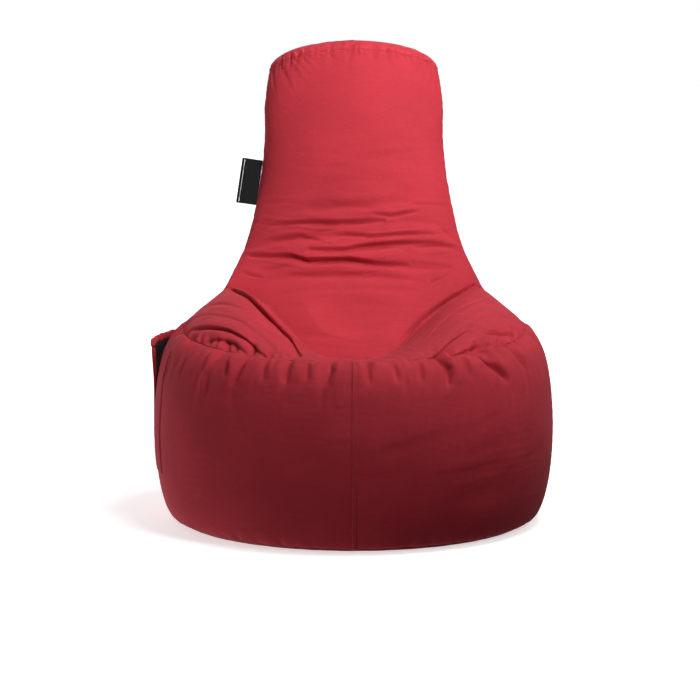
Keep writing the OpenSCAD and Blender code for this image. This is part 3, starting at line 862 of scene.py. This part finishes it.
def grooved(p, form, depth, width):
    """The backrest with its groove behind the right arm pushed in along its own normals."""
    return p - outward(form) * crease(form[..., 0], form[..., 2], GROOVE, depth, width, 0.15)[..., None]


coarse = {"wall_l": wall_l, "wall_r": wall_r, "seat": seat_p, "back": grooved(back_p, back[0], 18, 10), "rear": rear_p,
          "cap": cap_p}
wall_l = pressed(left[0], wall_l, left[4], wall_core_of, wall_marks)
wall_r = pressed(right[0], wall_r, right[4], wall_core_of, wall_marks)
seat_p = pressed(seat[0], seat_p, seat[4], low_core_of, seat_marks)
back_p = pressed(back[0], back_p, back[4], ring_core_of, back_marks)
back_p = grooved(back_p, doubled(back[0]), 14, 3.4)
rear_p = pressed(rear[0], rear_p, rear[4], rear_core_of, rear_marks)
cap_p = pressed(cap_base, cap_p, cap_made, cap_core_of, cap_marks)

# beside the zip the walls' edges turn away from the tapes, and a little forwards
sewn("cover_wall_left", wall_l, wall_core_of, "wall_left_panel", left[0], "bead_fill_seat",
     first=np.array([-0.97, -0.24, 0]))
sewn("cover_wall_right", wall_r, wall_core_of, "wall_right_panel", right[0], "bead_fill_seat",
     last=np.array([0.97, -0.24, 0]))
sewn("cover_seat", seat_p, low_core_of, "seat_panel", seat[0], "bead_fill_seat")
sewn("cover_backrest", back_p, ring_core_of, "backrest_front_panel", back[0], "bead_fill_back")
sewn("cover_rear", rear_p, rear_core_of, "backrest_rear_panel", rear[0], "bead_fill_back")
sewn("cover_cap", cap_p, cap_core_of, "head_cap", cap_base, "bead_fill_back")


# the base, gathered into the hem
def base_grid():
    th, q = np.meshgrid(np.linspace(-180, 180, 193)[:-1], np.linspace(0.03, 1, 30) ** 0.8, indexing="ij")
    r = BASE_R * q
    away = BASE_R - r
    p = polar(r, th, 0.4 + (BASE_H - 0.4) * ease((r - BASE_R + 14) / 14) ** 1.5)
    fold = 0.5 + 0.5 * np.sin(np.radians(th) * 31 + 2 * np.sin(np.radians(3 * th)))
    p[..., 2] += 1.2 * fold * bump(away, 4, 70)
    return p + unit(CORE - p) * HEM(BASE_R * np.radians(th), away)[..., None] * np.exp(-away / 8)[..., None]


def ring_faces(n, m):
    """Faces of a grid whose last row meets its first."""
    k = np.arange(n * m).reshape(n, m)
    k = np.concatenate([k, k[:1]])
    return np.stack([k[:-1, :-1], k[:-1, 1:], k[1:, 1:], k[1:, :-1]], -1).reshape(-1, 4)


base = base_grid()
tuck = base[:, -1:] + unit(CORE - base[:, -1:]) * 8
ring = np.concatenate([base[:, :-1], base[:, -1:] - np.array([0, 0, 0.4]), tuck], 1)
n, m = ring.shape[:2]
obj = mesh_from("cover_base", ring, ring_faces(n, m)[:, ::-1].tolist() + [[k * m for k in range(n)]])
put(obj, UNDER, nodes=("base_panel",))
thicken(obj, 0.9, offset=1.0)


# ---------- inner bag and fill ----------
def thinned(n, every):
    """The indices below n that are left when a grid is made coarser, with the last one."""
    return sorted(set(range(0, n, every)) | {n - 1})


def sunk_grid(p, core, depth, at_seam, every):
    """A layer below a settled panel, deeper where the panel's seams turn in."""
    far = seam_distances(p)
    away = np.minimum.reduce(list(far.values()))
    q = p + unit(core - p) * mix(depth, at_seam, np.exp(-((away / 36) ** 2)))[..., None]
    return q[np.ix_(thinned(q.shape[0], every), thinned(q.shape[1], every))]


def joined(name, grids, weld=2.5):
    """One mesh from several grids, welded where their edges meet."""
    verts, faces, start = [], [], 0
    for g in grids:
        verts.append(g.reshape(-1, 3))
        faces.append(faces_of(*g.shape[:2]) + start)
        start += g.shape[0] * g.shape[1]
    obj = mesh_from(name, np.concatenate(verts), np.concatenate(faces))
    bm = bmesh.new()
    bm.from_mesh(obj.data)
    bmesh.ops.remove_doubles(bm, verts=bm.verts, dist=weld * MM)
    bmesh.ops.recalc_face_normals(bm, faces=bm.faces)
    bm.to_mesh(obj.data)
    bm.free()
    return obj


def layer(depth, at_seam, every, side=0):
    """The grids of one layer: of the whole bag, or of its left (-1) or right (1) half."""
    out = {}
    for key, core_of in (("seat", low_core_of), ("back", ring_core_of), ("rear", rear_core_of), ("cap", cap_core_of)):
        p = coarse[key]
        q = sunk_grid(p, core_of(p), depth + (15 if key in ("seat", "back") else 2), at_seam, every)
        k = q.shape[0] // 2
        flip = -side if key == "rear" else side
        out[key] = q if not side else (q[k:] if flip > 0 else q[:k + 1])
    if side >= 0:
        out["wall_r"] = sunk_grid(coarse["wall_r"], CORE, depth, at_seam, every)
    if side <= 0:
        out["wall_l"] = sunk_grid(coarse["wall_l"], CORE, depth, at_seam, every)
    half = 180 * half_round()
    th = half if side > 0 else -half[::-1] if side < 0 else np.concatenate([-half[::-1], half[1:]])
    a, q = np.meshgrid(th[thinned(len(th), every)], np.linspace(0.02, 1, 9), indexing="ij")
    edge = out["wall_r"] if side > 0 else out["wall_l"]
    rim_r, rim_z = float(np.hypot(edge[:, 0, 0], edge[:, 0, 1]).mean()), float(edge[:, 0, 2].mean())
    out["floor"] = polar(rim_r * q, a, rim_z - (rim_z - depth) * (1 - q ** 6))[:, ::-1]
    return out


for side, name, cad in ((-1, "liner_left", "liner_left_half"), (1, "liner_right", "liner_right_half")):
    obj = joined(name, list(layer(7.0, 24.0, 1, side).values()))
    put(obj, LINER, nodes=(cad,))
    thicken(obj, 0.6, 0)

inner = layer(10.0, 28.0, 2)
k = int(round(inner["rear"].shape[1] * LOW_SHARE))
waist_front = inner["back"][:, 0]
waist_rear = inner["rear"][::-1, k]
share = np.linspace(0, 1, 7)[None, :, None]
waist = mix(waist_front[:, None], waist_rear[:, None], share)
gap = np.array([0, 0, 0.6])
obj = joined("fill_seat", [inner["wall_l"], inner["wall_r"], inner["seat"], inner["rear"][:, :k + 1], inner["floor"],
                           waist - gap], 6)
put(obj, BEADS, nodes=("bead_fill_seat",))
obj = joined("fill_back", [inner["back"], inner["rear"][:, k:], inner["cap"], waist + gap], 6)
put(obj, BEADS, nodes=("bead_fill_back",))

# ---------- felled strip over the front seam ----------
(lp, ln), (rp, rn) = row_beside(wall_l, "last", 5.2), row_beside(wall_r, "first", 5.2)
mid_n = unit(ln + rn)
us = np.linspace(-1, 1, 11)
flat_mid = (lp + rp) / 2
strip = np.stack([mix(flat_mid, lp if u < 0 else rp, abs(u)) + mid_n * (0.1 + 1.5 * (1 - abs(u) ** 5)) for u in us])
under = np.stack([strip[0] - mid_n * 1.6 + unit(rp - lp) * 1.0])
last = np.stack([strip[-1] - mid_n * 1.6 - unit(rp - lp) * 1.0])
strip = np.concatenate([under, strip, last])[:, 1:-1]
obj = mesh_from("front_strip", strip, faces_of(*strip.shape[:2]))
put(obj, COVER, nodes=("front_seam_strip",))
thicken(obj, 0.7)

# ---------- side pocket ----------
POCKET_FRONT, POCKET_REAR, POCKET_SPLIT = -73.0, -127.0, -85.0
POCKET_LOW, POCKET_HIGH, POCKET_R = 115.0, 372.0, 431.0
columns_th = np.degrees(np.arctan2(wall_l[:, :, 0], -wall_l[:, :, 1]))[:, wall_l.shape[1] // 2]
columns_r = np.hypot(wall_l[..., 0], wall_l[..., 1])


def wall_at(th, z):
    """Radius of the settled left wall at bearings and heights."""
    out = np.empty(np.broadcast(th, z).shape)
    th, z = np.broadcast_to(th, out.shape), np.broadcast_to(z, out.shape)
    i = np.interp(th, columns_th, np.arange(len(columns_th)))
    for idx in np.ndindex(out.shape):
        a = min(int(i[idx]), len(columns_th) - 2)
        f = i[idx] - a
        out[idx] = mix(*(np.interp(z[idx], wall_l[k, :, 2], columns_r[k]) for k in (a, a + 1)), f)
    return out


def pocket_rows(th, z):
    """Radius of the pocket's cloth: sewn down at its rear, foot and lower front, and standing off towards its mouth."""
    sewn = wall_at(th, z) + 1.3
    u = (th - POCKET_REAR) / (POCKET_SPLIT - POCKET_REAR)
    up = ease((z - POCKET_LOW) / (POCKET_HIGH - POCKET_LOW))
    rear_side = 1 - (1 - np.clip(u / 0.45, 0, 1)) ** 3
    front_side = mix(1 - np.clip((u - 0.7) / 0.3, 0, 1) ** 3, 1, ease((z - 190) / 70))
    out = mix(sewn, np.maximum(sewn, POCKET_R), rear_side * front_side * up ** 0.8)
    pull = ease((z - 250) / 130)
    arc = np.radians(th) * POCKET_R
    ripple = 1.7 * np.sin(arc / 3.1 + 1.5 * np.sin(arc / 23)) + 1.3 * np.sin(arc / 7.3 + 2)
    sag = 2.5 * np.sin(arc / 31) * bump(z, 150, 370)
    return np.maximum(sewn, out + (ripple * pull ** 2 + sag) * rear_side * up)


def pocket_grid(rear, front, columns, high):
    return np.meshgrid(np.linspace(rear, front, columns), np.linspace(POCKET_LOW, high, 41), indexing="ij")


th, z = pocket_grid(POCKET_REAR, POCKET_SPLIT, 131, POCKET_HIGH + 1)
outer = polar(pocket_rows(th, z), th, z)
th, z = pocket_grid(POCKET_SPLIT - 0.4, POCKET_FRONT, 15, POCKET_HIGH + 6)
facing = polar(wall_at(th, z) + 1.0 + 0.5 * bump(th, POCKET_SPLIT, POCKET_FRONT), th, z)


def turned_in(p, edge, turn=1.4):
    """A grid with one of its edges turned in, level, towards the middle of the drum."""
    return folded_edge(p, edge, -unit(edge_row(p, edge) * np.array([1, 1, 0])), turn)


outer = turned_in(turned_in(outer, "low"), "first")
stand = np.hypot(outer[-1:, :, 0], outer[-1:, :, 1]) - wall_at(np.array(POCKET_SPLIT), outer[-1:, :, 2])
outer = turned_in(outer, "last", np.clip(0.6 * stand, 1.2, 8.0)[..., None])
for e in ("low", "high", "last"):
    facing = turned_in(facing, e)
obj = joined("pocket", [outer, facing], 0.05)
put(obj, COVER, nodes=("side_pocket",))
# the pocket cloth's inner faces get a near-black finish: painted shade standing in for the shadow inside the pocket's
# mouth
obj.data.materials.append(plain_material("pocket_inside_painted_shade", (0.02, 0.006, 0.007), 0.85, 500, 0.2, 0.3))
thicken(obj, 1.1, offset=1.0)
obj.modifiers["Thickness"].material_offset = 1
obj.modifiers["Thickness"].material_offset_rim = 0

# elastic hem, a soft tube drawn into small gathers
th, a = np.meshgrid(np.linspace(POCKET_REAR, POCKET_SPLIT, 261), np.linspace(0, 2 * math.pi, 17)[:-1], indexing="ij")
mouth = POCKET_HIGH + 7
centre_r = pocket_rows(th, 0 * th + POCKET_HIGH) + 0.6
arc = np.radians(th) * POCKET_R
fat = 1 + 0.28 * np.sin(arc / 1.45 + 1.2 * np.sin(arc / 11)) + 0.12 * np.sin(arc / 0.9)
end = np.clip(np.minimum(th - POCKET_REAR, POCKET_SPLIT - th) / 1.2, 0.15, 1) ** 0.5
p = polar(centre_r + 2.3 * fat * end * np.cos(a), th, mouth + 7.6 * end * np.sin(a) + 0.8 * np.sin(arc / 5))
tube, ends = tube_faces(len(p), 16)
obj = mesh_from("pocket_elastic", p, tube[:, ::-1].tolist() + [ends[0], ends[1][::-1]])
put(obj, TRIM, nodes=("pocket_hem",))
thicken(obj, 0)

# ---------- label in the left side seam ----------
LABEL_LOW, LABEL_LEN, LABEL_OUT = 655.0, 102.0, 42.0


def label_frame():
    """Foot of the label on the side seam, and its directions up the seam, out of it and off its face."""
    ends = []
    for h in (LABEL_LOW, LABEL_LOW + LABEL_LEN):
        v = np.linspace(0, 1, 4001)
        c = curve(SIDE_LINE, v)
        q = c[np.searchsorted(c[:, 2], h)]
        ends.append(np.array([-q[0] - 1.0, q[1], h]))
    up = unit(ends[1] - ends[0])
    out = unit(np.array([-1.0, 0, 0]) + up * up[0])
    return ends[0], up, out, np.cross(up, out)


foot, up, out, face = label_frame()


def label_at(u, v, lift=0.0):
    """Points of the gently curled label; u runs out of the seam and v up it, both from 0 to 1."""
    curl = 1.8 * np.sin(math.pi * v) * u ** 2 - 1.0 * u * (1 - v) + 0.5 * np.sin(5 * v + 3 * u) * u + lift
    return foot + out * (LABEL_OUT * u)[..., None] + up * (LABEL_LEN * v)[..., None] + face * curl[..., None]


p = label_at(*np.meshgrid(np.linspace(-0.1, 1, 23), np.linspace(0, 1, 35), indexing="ij"))
obj = mesh_from("label", p, faces_of(*p.shape[:2]))
put(obj, LABEL, "side_label", nodes=("side_label",))
thicken(obj, 1.0, offset=0.0)
stripe = np.meshgrid(np.linspace(0.845, 0.868, 4), np.linspace(0.03, 0.97, 60), indexing="ij")
line = joined("label_stripe", [label_at(*stripe, side * 0.62) for side in (1, -1)], 0.01)
put(line, LABEL_LINE, "side_label")
thicken(line, 0.2, 0, 0.0)

# ---------- handle ----------
def swept(name, path, side, half_w, half_t, sides=16, power=4.0):
    """A strap with a rounded flat section along a path; side is the direction of its width at each point."""
    t = unit(np.gradient(path, axis=0))
    w = unit(side - t * (side * t).sum(-1, keepdims=True))
    nrm = np.cross(t, w)
    a = np.arange(sides) * 2 * math.pi / sides
    ca, sa = np.cos(a), np.sin(a)
    x, y = np.sign(ca) * np.abs(ca) ** (2 / power), np.sign(sa) * np.abs(sa) ** (2 / power)
    p = path[:, None] + w[:, None] * (half_w[:, None] * x)[..., None] + nrm[:, None] * (half_t[:, None] * y)[..., None]
    tube, ends = tube_faces(len(path), sides)
    return mesh_from(name, p, tube.tolist() + [ends[0][::-1], ends[1]]), w, nrm


HANDLE_HALF, HINGE_H, HANDLE_Y, BAR_H = 62.0, 928.0, 411.5, 860.0


def handle_path():
    """Down one leg, round two corners and up the other, and how far the strap has twisted edge-on by each point."""
    z = np.linspace(HINGE_H - 0.5, BAR_H + 20, 22)
    y = mix(395.5, HANDLE_Y, ease((HINGE_H - 2 - z) / 26))
    leg = np.stack([np.full_like(z, -HANDLE_HALF), y, z], 1)
    a = np.linspace(0, 90, 10)[1:]
    corner = np.stack([-HANDLE_HALF + 20 * (1 - np.cos(np.radians(a))), np.full_like(a, HANDLE_Y),
                       BAR_H + 20 - 20 * np.sin(np.radians(a))], 1)
    half = np.concatenate([leg, corner])
    bar = np.linspace(-42, 42, 15)[1:-1]
    bar = np.stack([bar, np.full_like(bar, HANDLE_Y), BAR_H - 0.6 * np.cos(bar / 27)], 1)
    other = half[::-1] * np.array([-1, 1, 1])
    path = np.concatenate([half, bar, other])
    return path, ease((HINGE_H - 4 - path[:, 2]) / 24)


path, twist = handle_path()
ang = twist * math.pi / 2
across = np.sign(-path[:, 0] + 1e-6)
side_dir = np.stack([np.cos(ang), across * -np.sin(ang), 0 * ang], 1)
side_dir[twist >= 1] = (0, -1, 0)
side_dir = np.where((path[:, 0] > 0)[:, None] & (twist < 1)[:, None], side_dir * np.array([-1, 1, 1]), side_dir)
obj, hw, hn = swept("handle", path, side_dir, mix(12.5, 7.5, twist), mix(1.0, 2.0, twist))
put(obj, WEBBING, "carry_handle", nodes=("carry_handle",))
thicken(obj, 0)
mid = slice(14, len(path) - 14)
rows = [(path[mid] + hw[mid] * off + hn[mid] * sgn * 2.0, hn[mid] * sgn) for sgn in (-1, 1) for off in (-5.4, 5.4)]
stitches("handle_stitching", rows, body="carry_handle", slot="webbing", pitch=4.0, length=2.8, width=0.7, lift=0.1)


def rear_at(x, z):
    """Point and normal of the settled rear face at positions across it and heights."""
    n, m = rear_p.shape[:2]
    nrm = outward(rear_p)
    out_p, out_n = np.empty(x.shape + (3,)), np.empty(x.shape + (3,))
    top = rear_p[:, m // 3:]
    for idx in np.ndindex(x.shape):
        d = (top[..., 0] - x[idx]) ** 2 + (top[..., 2] - z[idx]) ** 2
        w = np.exp(-d / 20)
        w /= w.sum()
        out_p[idx] = (w[..., None] * top).sum((0, 1))
        out_n[idx] = unit((w[..., None] * nrm[:, m // 3:]).sum((0, 1)))
        out_p[idx][0], out_p[idx][2] = x[idx], z[idx]
    return out_p, out_n


for side, name in ((-1, "handle_tab_left"), (1, "handle_tab_right")):
    x, z = np.meshgrid(side * HANDLE_HALF + np.linspace(12.5, -12.5, 9), np.linspace(885, 926, 13), indexing="ij")
    p, nrm = rear_at(x, z)
    edge = np.minimum(1, np.minimum(12.6 - np.abs(x - side * HANDLE_HALF), np.minimum(z - 884.9, 926.1 - z)) / 2.0)
    q = p + nrm * (0.5 + 0.9 * np.clip(edge, 0, 1)[..., None])
    obj = mesh_from(name + "_patch", q, faces_of(*q.shape[:2]))
    put(obj, WEBBING, nodes=(name,))
    thicken(obj, 1.0)
    box = [(-10, 888), (10, 888), (10, 916), (-10, 916), (-10, 888), (10, 916), (-10, 916), (10, 888)]
    rows = []
    for (xa, za), (xb, zb) in zip(box[:-1], box[1:]):
        t = np.linspace(0, 1, 12)
        pp, nn = rear_at(side * HANDLE_HALF + mix(xa, xb, t), mix(za, zb, t))
        rows.append((pp + nn * 1.5, nn))
    stitches(name + "_stitching", rows, slot="webbing", pitch=3.4, length=2.5, width=0.7, lift=0.1)

# ---------- zip ----------
TAPE_Y, TAPE_T, CHAIN_T, ZIP_LOW, ZIP_HIGH = 410.4, 0.8, 2.7, 84.0, 324.0
for side, name in ((-1, "zip_tape_left"), (1, "zip_tape_right")):
    x, z = np.meshgrid(side * np.linspace(0.15, 17.15, 18), np.linspace(ZIP_LOW, ZIP_HIGH, 61), indexing="ij")
    y = TAPE_Y + 0.4 + 0.08 * np.cos(x * 2.6) + 0.06 * np.sin(z / 9)
    obj = mesh_from(name + "_woven", np.stack([x, y, z], -1)[::side], faces_of(*x.shape)[:, ::side])
    put(obj, TAPE, nodes=(name,))
    thicken(obj, 0.7, 1, 0.0)


# outline of a moulded tooth seen from behind, from its root on the tape to its head past the middle, in mm
TOOTH = ((3.4, -0.85), (1.6, -0.85), (0.9, -0.55), (0.3, -0.55), (-0.3, -0.85), (-0.8, -0.75), (-1.0, -0.4),
         (-1.0, 0.4), (-0.8, 0.75), (-0.3, 0.85), (0.3, 0.55), (0.9, 0.55), (1.6, 0.85), (3.4, 0.85))
# how far out of the tape each ring of a tooth stands, and how much smaller it is drawn
TOOTH_RINGS = ((0.0, 0.0), (0.3, 0.0), (CHAIN_T - 0.35, 0.0), (CHAIN_T, 0.3))
for side, name, first in ((1, "zip_teeth_right", 104.0), (-1, "zip_teeth_left", 106.0)):
    bm = bmesh.new()
    for h in np.arange(first, 314.01, 4.0):
        rings = []
        for out_by, k in TOOTH_RINGS:
            y = TAPE_Y + TAPE_T + out_by
            ring = [(side * (px + (k if px < 1 else -k)), y, h + 0.85 + pz * (1 - 0.6 * k)) for px, pz in TOOTH]
            rings.append([bm.verts.new(Vector(p) * MM) for p in ring])
        for a, b in zip(rings[:-1], rings[1:]):
            for i in range(len(TOOTH)):
                j = (i + 1) % len(TOOTH)
                bm.faces.new((a[i], a[j], b[j], b[i]))
        bm.faces.new(rings[0])
        bm.faces.new(rings[-1][::-1])
    bmesh.ops.recalc_face_normals(bm, faces=bm.faces)
    me = bpy.data.meshes.new(name)
    bm.to_mesh(me)
    bm.free()
    put(placed(name + "_moulded", me), NYLON, nodes=(name,), smooth=False)

for name, mat in (("zip_top_stop", METAL), ("zip_bottom_stop", METAL), ("zip_slider", METAL), ("zip_puller", NYLON)):
    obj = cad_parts[name]
    obj.data.materials.clear()
    obj.data.materials.append(mat)
    bev = obj.modifiers.new("Edges", "BEVEL")
    bev.width, bev.segments, bev.limit_method = 0.25 * MM, 2, "ANGLE"

# ---------- rows of topstitching beside the seams ----------
for name, rows in (("rim", ((wall_l, "high", 5), (wall_r, "high", 5))),
                   ("cap", ((back_p, "high", 5), (rear_p, "high", 5))), ("crease", ((seat_p, "high", 6),)),
                   ("sides", ((back_p, "first", 5), (back_p, "last", 5))),
                   ("zip", ((wall_l, "first", 6), (wall_r, "last", 6)))):
    stitches("stitch_" + name, [row_beside(*row) for row in rows])
sp, sn = (flat_mid + mid_n * 1.6)[2:-2], mid_n[2:-2]
sw = unit(rp - lp)[2:-2]
stitches("stitch_strip", [(sp + sw * 3.4, sn), (sp - sw * 3.4, sn)], width=0.8)

# ---------- camera, light and floor ----------
cam = bpy.data.cameras.new("camera")
cam.lens, cam.sensor_width = 133.0, 36.0
cam_obj = placed("camera", cam)
cam_obj.location = (-0.0085, -5.503, 1.090)
cam_obj.rotation_euler = (math.radians(90 - 7.53), 0, 0)
bpy.context.scene.camera = cam_obj


def area_light(name, location, target, size, power):
    data = bpy.data.lights.new(name, "AREA")
    data.shape, data.size, data.energy = "DISK", size, power
    obj = placed(name, data)
    obj.location = location
    obj.rotation_euler = (Vector(target) - Vector(location)).to_track_quat("-Z", "Y").to_euler()
    return data


def ramp(nt, value, low, high, to_low, to_high):
    r = nt.nodes.new("ShaderNodeMapRange")
    r.interpolation_type = "SMOOTHSTEP"
    for k, v in (("From Min", low), ("From Max", high), ("To Min", to_low), ("To Max", to_high)):
        r.inputs[k].default_value = v
    nt.links.new(value, r.inputs["Value"])
    return r.outputs["Result"]


def floor():
    m, nt, b = shader("floor", (0.93, 0.93, 0.93), 0.9, 0.0)
    nt.links.new(tinted(nt, noise(nt, 3, 2), (0.925, 0.925, 0.925), (0.935, 0.935, 0.935)), b.inputs["Base Color"])
    obj = mesh_from("floor", polar(30000.0, np.linspace(0, 360, 65)[:-1], 0.0), [list(range(64))])
    obj.data.materials.append(m)
    b.inputs["Emission Color"].default_value = (1, 1, 1, 1)
    away = node(nt, "ShaderNodeVectorMath", operation="LENGTH")
    nt.links.new(nt.nodes.new("ShaderNodeTexCoord").outputs["Object"], away.inputs[0])
    nt.links.new(ramp(nt, away.outputs["Value"], 0.7, 2.6, 0.6, 1.0), b.inputs["Emission Strength"])
    obj.visible_diffuse = obj.visible_glossy = False


floor()
key = area_light("key", (1.35, -1.6, 1.95), (-0.05, 0.2, 0.95), 0.9, 7.9)
key.spread = math.radians(50)
area_light("top", (1.1, -0.9, 4.7), (0, -0.1, 0.4), 1.6, 100)


def studio():
    """A white sweep all round; it lights the object most from behind and above, and least from the front and below."""
    world = bpy.data.worlds.new("studio")
    bpy.context.scene.world = world
    world.use_nodes = True
    nt = world.node_tree
    lit = nt.nodes["Background"]
    lit.inputs["Color"].default_value = (1, 1, 1, 1)
    seen = nt.nodes.new("ShaderNodeBackground")
    seen.inputs["Color"].default_value = (1, 1, 1, 1)
    split = nt.nodes.new("ShaderNodeSeparateXYZ")
    nt.links.new(nt.nodes.new("ShaderNodeTexCoord").outputs["Generated"], split.inputs[0])
    x, y, z = split.outputs

    def combine(operation, a, b):
        n = node(nt, "ShaderNodeMath", operation=operation)
        nt.links.new(a, n.inputs[0])
        nt.links.new(b, n.inputs[1])
        return n.outputs[0]

    rear = combine("MULTIPLY", ramp(nt, y, -0.3, 0.9, 0.06, 1.15), ramp(nt, z, -0.7, 0.1, 0.6, 1.0))
    rear = combine("MULTIPLY", rear, ramp(nt, x, -0.9, 0.7, 0.95, 0.45))
    low_left = combine("MULTIPLY", ramp(nt, x, -0.9, 0.0, 1.9, 0.0), ramp(nt, z, -0.5, 0.05, 1.0, 0.0))
    nt.links.new(combine("ADD", rear, low_left), lit.inputs["Strength"])
    both = nt.nodes.new("ShaderNodeMixShader")
    nt.links.new(nt.nodes.new("ShaderNodeLightPath").outputs["Is Camera Ray"], both.inputs["Fac"])
    nt.links.new(lit.outputs[0], both.inputs[1])
    nt.links.new(seen.outputs[0], both.inputs[2])
    nt.links.new(both.outputs[0], nt.nodes["World Output"].inputs["Surface"])


studio()
bpy.context.scene.view_settings.view_transform = "Standard"
